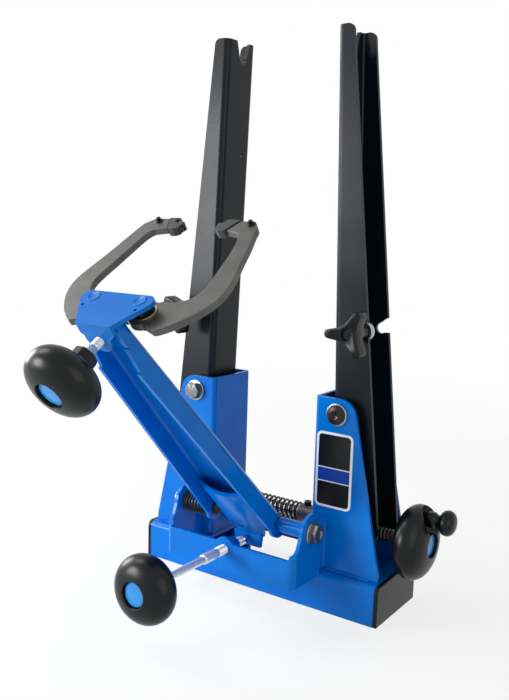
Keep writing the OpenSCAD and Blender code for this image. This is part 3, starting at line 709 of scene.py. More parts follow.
@dataclass(frozen=True)
class Moulded(Finish):
    """Moulded plastic: an eroded grain, with faint flow marks."""

    colour: Colour
    roughness: float
    grain_mm: float
    gloss: float

    def mix(self, tree: Tree) -> bpy.types.Material:
        """Grains the surface over 0.6 mm and varies its gloss over 20 mm.

        Args:
            tree: The empty tree of the finish's material.

        Returns:
            The filled material.
        """
        flow = tree.noise(52.0)
        grain = tree.noise(1700.0)
        pale = scaled(self.colour, 1.5, 0.002)
        return tree.finish(
            Base_Color=tree.blend(grain * 0.5 + flow * 0.2, self.colour, pale),
            Roughness=self.roughness + (flow - 0.5) * 0.08 + (grain - 0.5) * 0.05,
            Specular_IOR_Level=self.gloss,
            Normal=tree.bump(grain, self.grain_mm),
        )


@dataclass(frozen=True)
class FieldLabel(Finish):
    """Printed plate with bare fields: a white rim, black fields and one blue band."""

    name: str = "label_print"
    slot: str = "label"
    middle: Pair = (68.0, 112.5)
    half: Pair = (15.8, 30.0)
    corner: float = 4.5
    rim: float = 1.9
    band: Pair = (-9.2, 1.8)
    line: float = 0.4
    soft: float = 0.15

    def mix(self, tree: Tree) -> bpy.types.Material:
        """Takes each field from the place along X and Z. The rim follows the plate's rounded
        outline: the distance outside a smaller rectangle, sqrt(dx^2 + dz^2), against a radius.

        Args:
            tree: The empty tree of the label's material.

        Returns:
            The filled material.
        """
        x, _, z = tree.axes()
        across = abs(x / MM - self.middle[0])
        up = z / MM - self.middle[1]
        dx = (across - (self.half[0] - self.corner)).held(0.0, 100.0)
        dz = (abs(up) - (self.half[1] - self.corner)).held(0.0, 100.0)
        out = (dx * dx + dz * dz) ** 0.5
        rim = out.step(self.corner - self.rim, self.soft)
        low, high = self.band
        band = up.step(low, self.soft) * (1 - up.step(high, self.soft))
        lines = [1 - abs(up - edge).step(self.line, self.soft) for edge in self.band]
        colour = tree.blend(band, rgb(9, 10, 13), rgb(8, 60, 160))
        colour = tree.blend((rim + lines[0] + lines[1]).held(), colour, rgb(232, 236, 240))
        fine = tree.noise(1500.0)
        return tree.finish(
            Base_Color=colour,
            Roughness=0.24 + (fine - 0.5) * 0.08,
            Specular_IOR_Level=0.3,
            Normal=tree.bump(fine, 0.004),
        )


BLUE = Enamel(
    "blue_enamel", "blue_paint", rgb(0, 116, 205), rgb(0, 103, 195), 0.25, 0.22, 0.02, 0.05
)
# the blue tint in the black paint's two colours is painted sheen: it stands for the bluish
# reflection on the uprights' flanges
BLACK = Enamel(
    "black_enamel", "black_paint", rgb(9, 18, 25), rgb(6, 12, 18), 0.36, 0.04, 0.02, 0.17
)
JAW = Casting("jaw_phosphate", "cast_grey", rgb(72, 72, 69), rgb(100, 100, 96), 0.24, 0.42)
TIP = Casting("tip_phosphate", "tip_grey", rgb(44, 46, 46), rgb(64, 66, 65), 0.2, 0.46)
# also dresses the cross shaft's threads, where its dark colour is painted shade between the right
# upright and the crank disc
OILED_AND_SHADE = Casting("oiled_steel", "black_steel", rgb(38, 36, 34), rgb(82, 74, 64), 0.8, 0.32)
BRONZED = Casting(
    "bronzed_steel", "black_steel", rgb(120, 112, 100), rgb(168, 158, 142), 0.9, 0.24
)
ZINC = Plated("zinc_plate", "zinc", rgb(168, 170, 173), 0.26, (1.0, 1.0, 7.0))
STEEL = Plated("bolt_steel", "zinc", rgb(112, 113, 114), 0.34, (1.0, 1.0, 7.0))
SATIN = Plated("satin_plate", "chrome", rgb(236, 238, 241), 0.24, (6.0, 1.0, 6.0), 0.003, 0.55)
CHROME = Plated("chrome_plate", "chrome", rgb(232, 235, 238), 0.09, (6.0, 1.0, 6.0), 0.003)
BRASS = Plated("brass_turned", "brass", rgb(204, 184, 138), 0.3, (1.0, 1.0, 5.0))
PLASTIC = Moulded("black_plastic_grain", "black_plastic", rgb(6, 8, 10), 0.3, 0.004, 0.22)
INLAY = Moulded("blue_plastic_disc", "blue_plastic", rgb(34, 128, 198), 0.22, 0.004, 0.4)
LABEL = FieldLabel()


# ------------------------------------------------------------------ pieces
class Side(Enum):
    """The two sides of the stand, with the sign of X."""

    LEFT = -1
    RIGHT = 1

    @property
    def word(self) -> str:
        """The side's name in lower case."""
        return self.name.lower()

    def of(self, place: Place) -> Place:
        """Returns a right-hand place on this side."""
        return place if self is Side.RIGHT else place.mirrored()

    def once(self, node: str) -> list[str]:
        """Returns the node for the left side only, as one node holds both sides' solids."""
        return [node] if self is Side.LEFT else []


class Assembly:
    """A part of the stand that makes, places and registers its own pieces."""

    body: str = "base"
    made: ClassVar[list[str]] = []

    def piece(
        self,
        name: str,
        shape: Shape,
        place: Place,
        finish: Finish,
        *nodes: str,
        body: str = "",
        sharp: float = TURNED,
    ) -> None:
        """Makes one object from a shape.

        Args:
            name: Name of the piece.
            shape: Its points and faces, in millimetres.
            place: Where it stands.
            finish: What it is dressed in.
            *nodes: Nodes of the frame that it replaces.
            body: Body of the frame that it moves with, if not the assembly's own.
            sharp: Angle above which an edge stays crisp, in degrees.
        """
        put = shape.at(place)
        mesh = bpy.data.meshes.new(name)
        mesh.from_pydata((put.points * MM).tolist(), [], put.faces)
        mesh.validate()
        self._dress(name, mesh, finish, body or self.body, nodes, sharp)

    def softened(self, node: str, finish: Finish, bevel: float) -> None:
        """Makes a copy of a node's mesh with its edges rounded, which stands for the node.

        Args:
            node: Name of the node.
            finish: What it is dressed in.
            bevel: Width of the rounded edges, in millimetres.
        """
        source = frame["nodes"][node]
        mesh = source.data.copy()
        mesh.materials.clear()
        work = bmesh.new()
        work.from_mesh(mesh)
        bmesh.ops.remove_doubles(work, verts=work.verts[:], dist=2e-6)
        bmesh.ops.dissolve_limit(
            work,
            angle_limit=math.radians(1.0),
            verts=work.verts[:],
            edges=work.edges[:],
            use_dissolve_boundaries=False,
        )
        work.to_mesh(mesh)
        work.free()
        obj = self._dress(f"{node}_soft", mesh, finish, source["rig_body"], [node], SET_IN)
        rounded = obj.modifiers.new("rounded", "BEVEL")
        rounded.width = bevel * MM
        rounded.segments = 3
        rounded.limit_method = "ANGLE"
        rounded.angle_limit = math.radians(SET_IN)
        rounded.harden_normals = True
        rounded.use_clamp_overlap = True
        rounded.miter_outer = "MITER_ARC"
        obj.modifiers.new("weighted", "WEIGHTED_NORMAL").keep_sharp = True

    def _dress(
        self,
        name: str,
        mesh: bpy.types.Mesh,
        finish: Finish,
        body: str,
        nodes: Sequence[str],
        sharp: float,
    ) -> bpy.types.Object:
        """Links a mesh as a piece, shades it, and ties it to its body and its nodes.

        Args:
            name: Name of the piece.
            mesh: Its mesh.
            finish: What it is dressed in.
            body: Body of the frame that it moves with.
            nodes: Nodes of the frame that it replaces.
            sharp: Angle above which an edge stays crisp, in degrees.

        Returns:
            The new object.
        """
        mesh.polygons.foreach_set("use_smooth", np.ones(len(mesh.polygons), bool))
        mesh.set_sharp_from_angle(angle=math.radians(sharp))
        obj = bpy.data.objects.new(name, mesh)
        bpy.context.scene.collection.objects.link(obj)
        mesh.materials.append(finish.material())
        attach(obj, body)
        if nodes:
            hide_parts(*nodes)
        self.made.append(name)
        log.info("%s: %d faces on %s", name, len(mesh.polygons), body)
        return obj


# ------------------------------------------------------------------ hand parts
def disc_rings(low: float, r: float = 9.0) -> Rings:
    """Rings of a set-in disc: a flat back, a rounded edge and a slightly domed face."""
    face = [(r * c, low + 1.4 - 0.6 * c * c) for c in (0.9, 0.7, 0.4)]
    return [(0, low), (r, low), (r, low + 0.5), (r - 0.35, low + 0.8), *face, (0, low + 1.4)]


@dataclass(frozen=True)
class RoundKnob(Assembly):
    """A round moulded knob: a lens-shaped body with a hub behind and a disc set in its face."""

    name: str
    place: Place
    body: str
    radius: float = 25.5
    half: float = 14.0
    hub: float = 7.6
    hub_len: float = 9.0
    inlay: float = 9.0
    recess: float = 3.6
    steps: int = 96

    def profile(self) -> Rings:
        """Works out the knob's outline: a lens, and behind it a hub that is a rounded octagon,
        the smaller of an octagon's radius and a circle's.

        Returns:
            Rings from the hub's back face, round the rim and into the recess.
        """
        hub = np.minimum(hex_radius(self.hub * 1.92, self.steps, 8), self.hub)
        back = -self.half - self.hub_len + 3
        rings: Rings = [(3.4, back + 0.4), (3.8, back), (hub - 0.7, back)]
        rings += [(hub, back + 0.7), (hub, -self.half + 0.6)]
        rim = self.inlay + 0.5
        last = lens_angle((rim + 1.2) / self.radius)
        rings += lens(self.radius, self.half, np.linspace(math.radians(-76), last, 56))
        face = self.half * math.sin(lens_angle(rim / self.radius))
        floor = self.half - self.recess - 0.05
        rings += arc(rim + 0.7, face - 0.75, 0.7, 90, 180, 4)
        return rings + [(rim, floor + 0.3), (rim - 0.3, floor), (0, floor)]

    def build(self) -> None:
        """Makes the knob and its disc."""
        name, at = self.name, self.place
        knob = lathe(self.profile(), self.steps)
        self.piece(f"{name}_body", knob, at, PLASTIC, name, sharp=40)
        disc = lathe(disc_rings(self.half - self.recess), self.steps)
        self.piece(f"{name}_disc", disc, at, INLAY, f"{name}_inlay", sharp=SET_IN)


@dataclass(frozen=True)
class WeldBead:
    """A fillet weld: a bead whose thickness ripples along its run."""

    start: Triple
    end: Triple
    radius: float = 1.5
    ripple: float = 1.5

    def shape(self) -> Shape:
        """Carries a circle along the run, its radius r (1 + 0.14 sin(2 pi s / ripple) +
        0.05 sin 1.7 s), with both ends drawn in to a round.

        Returns:
            The bead, in the stand's frame.
        """
        a, b = np.array(self.start), np.array(self.end)
        length = float(np.linalg.norm(b - a))
        s = np.linspace(0, length, int(length / 0.28))
        near = np.minimum(s, length - s) / self.radius
        round_end = np.sqrt(1 - (1 - np.clip(near, 0.02, 1)) ** 2)
        swell = 1 + 0.14 * np.sin(2 * np.pi * s / self.ripple) + 0.05 * np.sin(s * 1.7)
        path = a + (b - a) * (s / length)[:, None]
        across_y = abs((b - a)[1]) < 0.9 * length
        ref = np.array([0.3, 0.9, 0.3]) if across_y else np.array([1.0, 0.2, 0.3])
        return tube(path, self.radius * round_end * swell, np.tile(ref, (len(s), 1)), 14)

    @staticmethod
    def ring(r: float, bead: float) -> Shape:
        """A bead that runs all round a bush: radius and height of each of its rings follow a
        circle of radius bead (1 + 0.12 sin 26 a).

        Args:
            r: Radius of the bush.
            bead: Mean radius of the bead.

        Returns:
            The closed ring, about +Z.
        """
        steps, ripples = 208, 26
        b = bead * (1 + 0.12 * np.sin(ripples * around(steps)))
        t = np.radians(np.arange(0, 360, 30))
        return lathe([(r + b * math.cos(k), b * math.sin(k)) for k in t], steps, closed=True)


@dataclass(frozen=True)
class DepthDrive(Assembly):
    """The rod that sets the arm's lean, with its knob and its threaded bush."""

    body: str = "depth_rod"
    x: float = -2.7
    z: float = 45.0
    y_knob: float = -162.0
    y_step: float = -97.0
    y_thread: float = -81.0
    y_end: float = -46.85
    y_tip: float = -40.2
    thin: float = 3.0
    thick: float = 3.9
    ball: float = 4.5
    bush_y: float = -67.4
    bush_len: float = 10.0
    bead: Pair = (6.9, 1.0)

    def at(self, y: float, axes: Array = TO_BACK) -> Place:
        """Returns a place on the rod's axis."""
        return STAND.moved(self.x, y, self.z, axes)

    def build(self) -> None:
        """Makes the knob, the stepped rod, its thread, its tip and the bush."""
        RoundKnob("depth_knob", self.at(self.y_knob, TO_FRONT), "depth_rod").build()
        back = self.at(self.y_knob)
        step, run = self.y_step - self.y_knob, self.y_thread - self.y_knob
        r, neck = self.thick, self.thick - 0.35
        rings: Rings = [(0, 8.0), (self.thin, 8.0), (self.thin, step - 0.2)]
        rings += arc(r - 0.6, step + 0.6, 0.6, -90, 0, 3)
        rings += [(r, run), (neck, run + 0.4), (neck, run + 1.0), (0, run + 1.0)]
        self.piece("depth_rod_shank", lathe(rings, 48), back, SATIN, "depth_rod")
        screw = thread(r - 0.02, *M8_THREAD, run + 0.6, self.y_end - self.y_knob)
        self.piece("depth_rod_thread", screw, back, SATIN, sharp=WOUND)
        tip: Rings = [(0, -6.6), (r - 0.4, -6.6), (r, -6.2)]
        tip += arc(0, -self.ball, self.ball, 29.9, 84, 12) + [(0, 0.0)]
        cap_at = self.at(self.y_tip)
        self.piece("depth_tip_cap", lathe(tip, 48), cap_at, CHROME, "depth_tip", body="rod_tip")
        bush = nut(M8_HEX, r + 0.05, self.bush_len)
        bush_at = self.at(self.bush_y)
        self.piece("depth_bush", bush, bush_at, BLUE, "depth_nut", body="base", sharp=NUTTED)
        bead, bead_at = WeldBead.ring(*self.bead), self.at(self.bush_y + 0.2)
        self.piece("depth_bush_weld", bead, bead_at, BLUE, body="base", sharp=WOUND)


# ------------------------------------------------------------------ base
@dataclass(frozen=True)
class Base(Assembly):
    """The welded base: beam, end caps, front box, brackets, bushes and fixed fasteners."""

    depth: float = 68.0
    bracket_x: float = 48.8
    bracket_y: float = 26.0
    tilt: Pair = (68.6, 157.0)
    tilt_run: float = 53.0
    tilt_washer: float = 1.6
    shaft_z: float = 62.0
    shaft_bore: float = 5.05
    ear_x: float = 62.0
    pivot: Pair = (-45.7, 67.0)
    pivot_washer: float = 1.5
    sleeve: Pair = (33.6, 59.0)
    bolt_in: float = 27.9

    def build(self) -> None:
        """Makes every fixed piece."""
        self.softened("base_beam", BLUE, 0.7)
        for node in ("front_box", "bracket_left", "bracket_right"):
            self.softened(node, BLUE, 0.8)
        self.softened("end_caps", PLASTIC, 0.9)
        self.label()
        self.welds()
        for side in Side:
            self.tilt_fastener(side)
            self.pivot_fastener(side)
            self.shaft_bearing(side)
        self.softened("tilt_spacers", ZINC, 0.4)
        self.softened("arm_pivot_sleeves", BLUE, 0.4)
        self.softened("arm_pivot_clips", OILED_AND_SHADE, 0.15)
        self.springs()

    def label(self) -> None:
        """Makes the bare label plate with a raised rim: its outlines have a quarter circle of
        radius r - inset round each corner's middle."""
        (w, h), r = LABEL.half, LABEL.corner
        middles = np.repeat([(w - r, h - r), (r - w, h - r), (r - w, r - h), (w - r, r - h)], 9, 0)
        a = np.concatenate([np.linspace(0, np.pi / 2, 9) + k * np.pi / 2 for k in range(4)])
        ray = np.stack([np.cos(a), np.sin(a)], 1)
        levels = ((0.0, 0.0), (0.42, 0.0), (0.5, 0.1), (0.5, 1.85), (0.38, 2.05))
        panel = plate([(middles + (r - inset) * ray, z) for z, inset in levels])
        at = STAND.moved(LABEL.middle[0], -self.bracket_y, LABEL.middle[1], TO_FRONT)
        self.piece("label_panel", panel, at, LABEL, "label_plate", sharp=NUTTED)

    def welds(self) -> None:
        """Makes the fillet welds that join the folded pieces."""
        front, top = -self.bracket_y - 0.4, 32.4
        for side in Side:
            s = side.value
            x, y, end = s * (self.ear_x + 0.1), -self.bracket_y - 0.2, s * 103.0
            inner = s * (self.bracket_x - 0.1)
            seams = {
                "ear": WeldBead((x, y, 33.0), (x, y, 73.0), 1.3),
                "box": WeldBead((x, -self.depth / 2 - 0.2, 28.4), (x, -34.2, 33.0), 1.2),
                "foot_front": WeldBead((s * 64.0, front, top), (end, front, top), 1.3),
                "foot_back": WeldBead((s * 57.0, -front, top), (end, -front, top), 1.3),
                "foot_inner": WeldBead((inner, -19.0, 32.1), (inner, 19.0, 32.1), 0.8),
            }
            for key, seam in seams.items():
                name = f"weld_{key}_{side.word}"
                self.piece(name, seam.shape(), STAND, BLUE, sharp=WOUND)

    def tilt_fastener(self, side: Side) -> None:
        """Makes the bolt that an upright tilts on: a button head on the right, a hexagon head
        on the left, each on a wide washer, and a nut behind.

        Args:
            side: Side of the stand.
        """
        x, z = self.tilt
        word = side.word
        front = side.of(STAND.moved(x, -self.bracket_y, z, TO_FRONT))
        back = side.of(STAND.moved(x, self.bracket_y, z, TO_BACK))
        disc = washer(8.8, M8 + 0.05, 0, self.tilt_washer, 0.4)
        bolts, nuts = side.once("tilt_bolts"), side.once("tilt_nuts")
        self.piece(f"tilt_washer_{word}", disc, front, ZINC, *bolts)
        if side is Side.LEFT:
            head, finish = hex_head(M8_HEX, M8_HEAD, turned=30), STEEL
        else:
            head, finish = socket_head(r=7.6, height=3.0, dome=0.9, key=4.6, deep=1.6), OILED_AND_SHADE
        seat = front.moved(0, 0, self.tilt_washer)
        self.piece(f"tilt_head_{word}", head, seat, finish, sharp=32)
        shank = lathe(bar(M8, -self.tilt_run, 0), 40)
        self.piece(f"tilt_shank_{word}", shank, front, ZINC)
        end = thread(M8 - 0.02, *M8_THREAD, 0, 8.5)
        self.piece(f"tilt_thread_{word}", end, back, ZINC, sharp=WOUND)
        holder = nut(M8_HEX, bore=M8, height=6.5)
        self.piece(f"tilt_nut_{word}", holder, back, ZINC, *nuts, sharp=NUTTED)

    def pivot_fastener(self, side: Side) -> None:
        """Makes one bolt of the arm's pivot with its washer, its dished head and its shank.

        Args:
            side: Side of the stand.
        """
        word = side.word
        outer = side.of(STAND.moved(self.ear_x, *self.pivot, TO_X))
        disc = washer(9.0, M8, 0, self.pivot_washer, 0.4)
        bolts = side.once("arm_pivot_bolts")
        self.piece(f"pivot_washer_{word}", disc, outer, ZINC, *bolts)
        head, seat = hex_head(M8_HEX, M8_HEAD, 44, dish=4.2), outer.moved(0, 0, self.pivot_washer)
        self.piece(f"pivot_head_{word}", head, seat, BRONZED, sharp=32)
        inner = side.of(STAND.moved(self.bolt_in, *self.pivot, TO_X))
        length = self.ear_x + self.pivot_washer - self.bolt_in
        shank = lathe(bar(M8, 0, length, foot=0.4), 40)
        self.piece(f"pivot_shank_{word}", shank, inner, OILED_AND_SHADE)

    def shaft_bearing(self, side: Side) -> None:
        """Makes one flanged bush of the cross shaft.

        Args:
            side: Side of the stand.
        """
        bore = self.shaft_bore
        rings = arc(bore + 0.3, 0.3, 0.3, 180, 270, 2) + arc(11 - 0.4, 0.4, 0.4, -90, 0, 3)
        rings += [(11.0, 2.0), (7.5, 2.0), (7.5, 5.1), (7.2, 5.4), (5.4, 5.4), (bore, 5.0)]
        at = side.of(STAND.moved(self.bracket_x - 2.0, 0, self.shaft_z, TO_X))
        name, bush = f"shaft_bush_{side.word}", lathe(rings, closed=True)
        self.piece(name, bush, at, ZINC, *side.once("shaft_bushes"))

    def springs(self) -> None:
        """Makes the arm's spring on the left sleeve, and the shaft's spring with its seat."""
        low, high = self.sleeve
        at = Side.LEFT.of(STAND.moved(low + 1, *self.pivot, TO_X))
        wound = coil(r=8.0, length=high - low - 2.3, turns=8.0, wire=1.0)
        self.piece("arm_spring_coil", wound, at, OILED_AND_SHADE, "arm_spring", sharp=WOUND)
        at = STAND.moved(2.0 - self.bracket_x, 0, self.shaft_z, TO_X)
        seat = washer(9.0, self.shaft_bore, 0, 1.5, 0.3)
        self.piece("seat_ring", seat, at, ZINC, "spring_seat")
        wound, at = coil(r=7.4, length=68.06, turns=16.0, wire=0.97), at.moved(0, 0, 2.47)
        self.piece("shaft_spring_coil", wound, at, OILED_AND_SHADE, "shaft_spring", sharp=WOUND)


# ------------------------------------------------------------------ arm and head
@dataclass(frozen=True)
class DepthArm(Assembly):
    """The leaning arm with its push plate and the head plate that carries the jaws."""

    body: str = "arm"
    pivot_u: float = 19.4
    under: float = -3.0
    jaw_top: float = -9.5
    lip_v: float = -22.9
    screw_h: float = -13.0

    def build(self) -> None:
        """Makes the folded pieces and the pieces round the jaw pins."""
        for node, bevel in (("arm", 0.8), ("arm_push_plate", 0.8), ("head_plate", 0.9)):
            self.softened(node, BLUE, bevel)
        for side in Side:
            self.pin(side)
        at = HEAD.moved(0, self.lip_v, self.screw_h, TO_BACK)
        bush = nut(across=11, bore=3.25, height=4.5)
        self.piece("jaw_screw_bush", bush, at, ZINC, "jaw_screw_nut", sharp=NUTTED)
        self.piece("jaw_bush_weld", WeldBead.ring(5.6, 0.8), at, BLUE, sharp=WOUND)

    def pin(self, side: Side) -> None:
        """Makes one jaw pin with its peened head, spacer, washer and nut.

        Args:
            side: Side of the stand.
        """
        place = side.of(HEAD.moved(self.pivot_u, 0, 0))
        foot, top = self.jaw_top - 10.0, self.jaw_top
        rings = bar(M8, foot, 0.0, foot=0.4)[:-1] + arc(4.4, 0.1, 0.4, -60, 60, 4)
        pin = lathe(rings + [(3.9, 0.42), (3.5, 0.2), (0, 0.3)], 48)
        spacer = washer(7.3, M8, top + 0.9, self.under, 0.4)
        ring = washer(8.2, M8, top + 0.1, top + 0.9, 0.2)
        holder = nut(across=12, bore=M8, height=4.2)
        nut_at = place.moved(0, 0, foot + 0.6)
        for name, shape, at, finish, sharp in (
            ("jaw_pin", pin, place, BLUE, TURNED),
            ("jaw_spacer", spacer, place, PLASTIC, TURNED),
            ("jaw_washer", ring, place, BRASS, TURNED),
            ("jaw_pin_nut", holder, nut_at, OILED_AND_SHADE, NUTTED),
        ):
            nodes = side.once(f"{name}s")
            self.piece(f"{name}_{side.word}", shape, at, finish, *nodes, sharp=sharp)


@dataclass(frozen=True)
class JawDrive(Assembly):
    """The screw, yoke and knob that open and close the jaws."""

    body: str = "jaw_screw"
    knob_v: float = -63.2
    end_v: float = -4.05
    screw_h: float = -13.0
    radius: float = 3.2
    neck: float = 2.4
    shank_end: float = 31.2

    def build(self) -> None:
        """Makes the knob, the screw with its thread and ring, and the yoke."""
        front = HEAD.moved(0, self.knob_v, self.screw_h, TO_FRONT)
        RoundKnob("jaw_knob", front, "jaw_screw", hub=8.4, hub_len=12.5).build()
        back = HEAD.moved(0, self.knob_v, self.screw_h, TO_BACK)
        end, last = self.end_v - self.knob_v, self.shank_end
        r, groove = self.radius, self.radius - 0.35
        rings: Rings = [(0, 10.0), (r, 10.0), (r, 30.0), (groove, 30.5), (groove, last), (0, last)]
        turned = thread(r, depth=0.42, pitch=1.0, z0=last - 0.4, z1=end)
        neck = lathe(bar(self.neck, end - 1, end + 10), 32)
        ring = washer(4.2, self.neck, end + 8.1, end + 9.2, 0.2)
        self.piece("jaw_screw_shank", lathe(rings, 40), back, SATIN, "jaw_screw")
        self.piece("jaw_screw_thread", turned, back, SATIN, sharp=WOUND)
        self.piece("jaw_screw_neck", neck, back, CHROME)
        self.piece("jaw_screw_ring", ring, back, OILED_AND_SHADE)
        self.softened("jaw_yoke", ZINC, 0.4)


@dataclass(frozen=True)
class Jaws(Assembly):
    """The two cast jaws with their tip blocks, thin black strips, nose pins and small screws."""

    nose: Triple = (14.8, 94.0, -12.5)
    nose_r: float = 3.0
    top: float = -9.5
    tip_top: float = -8.9
    set_out: float = 1.7
    shim_at: Pair = (25.4, 90.8)
    shim_run: Pair = (5.6, 11.7)
    shim_t: float = 1.2
    stud: Pair = (40.8, 98.8)
    dot: Pair = (-24.3, 99.8)
    tail_u: float = 9.0

    def build(self) -> None:
        """Makes both jaws; the left free end stands further out, the right one further in."""
        for side in Side:
            word, shift = side.word, -side.value * self.set_out
            body = f"{word}_jaw"
            self.softened(f"jaw_{word}", JAW, 1.2)
            self.softened(f"jaw_tip_{word}", TIP, 0.6)
            u, v, h = self.nose
            r = self.nose_r
            pin = lathe([(0, 0.0)] + arc(0, r, r, -84, 0, 10) + [(r, 7.0), (0, 7.0)], 40)
            at = side.of(HEAD.moved(u + shift, v, h, TO_X))
            self.piece(f"jaw_nose_pin_{word}", pin, at, OILED_AND_SHADE, f"jaw_nose_{word}", body=body)
            # a thin black strip draws the dark line between the jaw and its tip block
            shim = self.shim(shift)
            self.piece(f"jaw_shim_{word}", shim, side.of(HEAD), PLASTIC, body=body)
            screw = self.tip_screws(side)
            node = f"jaw_tip_screw_{word}"
            self.piece(f"jaw_tip_stud_{word}", screw, STAND, PLASTIC, node, body=body)
            tail = lathe(bar(1.5, 0, 9.6, top=0.3), 24)
            at = side.of(HEAD.moved(self.tail_u, 0, self.top - 5))
            self.piece(f"jaw_tail_{word}", tail, at, ZINC, f"jaw_tail_pin_{word}", body=body)

    def shim(self, shift: float) -> Shape:
        """Works out the thin black strip under a tip block, which draws a dark line along the
        joint.

        Args:
            shift: How far the free end stands to the side.

        Returns:
            The sheet, in the head's frame.
        """
        foot = np.array([self.shim_at, self.shim_at]) + [[0, 0], [self.shim_t, 0]]
        outline = np.vstack([foot, foot[::-1] + self.shim_run]) + [shift, 0.0]
        return plate([(outline, self.tip_top - 5.4), (outline, self.tip_top - 0.5)])

    def tip_screws(self, side: Side) -> Shape:
        """Works out the stepped stud in a jaw's free end, on the left with a flat dot beside.

        Args:
            side: Side of the stand.

        Returns:
            The small screws, in the stand's frame.
        """
        rings = [(0, 0.0), (2.9, 0.0)] + arc(2.5, 0.5, 0.4, 0, 90, 3)
        rings += [(1.7, 0.9), (1.7, 2.9), (1.4, 3.2), (0, 3.2)]
        screws = lathe(rings, 32).at(side.of(HEAD.moved(*self.stud, self.top)))
        if side is Side.LEFT:
            flat: Rings = [(0, 0.0), (1.6, 0.0)] + arc(1.2, 0.8, 0.4, 0, 90, 3) + [(0, 1.2)]
            screws += lathe(flat, 24).at(HEAD.moved(*self.dot, self.tip_top))
        return screws


# ------------------------------------------------------------------ uprights and shaft
class Uprights(Assembly):
    """The two folded uprights and the barrel nuts that move them."""

    def build(self) -> None:
        """Makes both uprights and their nuts."""
        for side in Side:
            self.softened(f"upright_{side.word}", BLACK, 0.8)
            self.softened(f"shaft_nut_{side.word}", ZINC, 0.4)


@dataclass(frozen=True)
class CrankDrive(Assembly):
    """The cross shaft with its collar, crank disc and turning grip."""

    body: str = "crank"
    z: float = 62.0
    shaft_r: float = 5.0
    shaft_thread: Pair = (0.8, 3.0)
    disc_x: float = 128.0
    radius: float = 29.2
    half: float = 14.0
    rim: float = 9.5
    recess: float = 3.6
    grip_y: float = 4.0
    grip_up: float = 19.0
    scoop: float = 14.0
    scoop_blend: float = 1.4
    grip_x: float = 131.0
    grip_end: float = 19.5
    grip_r: float = 9.8
    grip_half: float = 6.2

    def build(self) -> None:
        """Makes the shaft, collar, disc, inlay, stud and grip."""
        self.shaft()
        self.disc()
        self.grip()

    def shaft(self) -> None:
        """Makes the shaft with a thread at each end, and the collar with its screw."""
        along = STAND.moved(0, 0, self.z, TO_X)
        plain = lathe(bar(self.shaft_r, -60.0, 60.4, 0.4, 0.4), 48)
        self.piece("cross_shaft_bar", plain, along, ZINC, "cross_shaft")
        # both threads take the dark oiled steel; on the right, between the upright and the crank
        # disc, that dark is painted shade
        for word, low, high in (("left", -88.0, -59.0), ("right", 59.0, 117.0)):
            turned = thread(self.shaft_r, *self.shaft_thread, low, high)
            name = f"cross_shaft_thread_{word}"
            self.piece(name, turned, along, OILED_AND_SHADE, sharp=WOUND)
        self.softened("shaft_collar", JAW, 0.5)
        self.softened("collar_screw", OILED_AND_SHADE, 0.2)

    def disc(self) -> None:
        """Makes the disc, a lens turned about X. Where a sphere round the grip cuts its outer
        face, the lower of the two heights is taken, blended over k = 1.4 mm:
        min(a, b) - (k - |a - b|)^2 / 4 k."""
        last = lens_angle((self.rim + 0.8) / self.radius)
        behind = np.radians(np.linspace(-86, 0, 30))[:-1]
        angles = np.concatenate([behind, np.linspace(0, last, 96)])
        rings = [(0, -self.half)] + lens(self.radius, self.half, angles)
        floor = self.half - self.recess
        rings += arc(self.rim + 0.5, rings[-1][1] - 0.5, 0.5, 90, 180, 4)
        shape = lathe(rings + [(self.rim, floor - 0.05), (0, floor - 0.05)], 224)
        p = shape.points
        q = np.hypot(p[:, 0] + self.grip_up + 1, p[:, 1] - self.grip_y)
        bowl = self.half - np.sqrt(np.maximum(self.scoop**2 - q**2, 0))
        bowl = np.where(q < self.scoop, bowl, 99.0)
        k = self.scoop_blend
        near = np.maximum(k - np.abs(p[:, 2] - bowl), 0)
        out = np.hypot(p[:, 0], p[:, 1]) > self.rim + 0.01
        p[:, 2] = np.where(out, np.minimum(p[:, 2], bowl) - near**2 / (4 * k), p[:, 2])
        at = STAND.moved(self.disc_x, 0, self.z, TO_X)
        self.piece("crank_disc_body", shape, at, PLASTIC, "crank_disc", sharp=WOUND)
        inlay = lathe(disc_rings(floor), 96)
        self.piece("crank_disc_inlay", inlay, at, INLAY, "crank_inlay", sharp=SET_IN)

    def grip(self) -> None:
        """Makes the stud and the waisted grip, whose flattened end is a lens."""
        place = STAND.moved(self.grip_x, self.grip_y, self.z + self.grip_up, TO_X)
        end, half = self.grip_end, self.grip_half
        rings: Rings = [(0, 1.0), (3.05, 1.0), (3.05, 0.2), (3.3, 0.0), (4.7, 0.0)]
        rings += [(5.0, 0.3), (5.1, 1.8), (5.2, 3.2), (5.5, 3.7), (6.0, 4.2), (6.15, 5.4)]
        rings += [(6.2, 7.0), (6.15, 8.4), (6.0, 9.4), (5.5, 10.1), (4.95, 10.7), (4.7, 11.6)]
        rings += [(4.7, 12.6), (4.85, 13.2)]
        rings += lens(self.grip_r, half, np.radians(np.linspace(-62, 88, 40)), end)
        ball = lathe(rings + [(0, end + half)], 72)
        self.piece("crank_grip_ball", ball, place, PLASTIC, "crank_grip", body="grip", sharp=45)
        stud = lathe(bar(3.0, -7.0, 13.0), 32)
        self.piece("crank_grip_stud", stud, place, ZINC, "crank_stud")


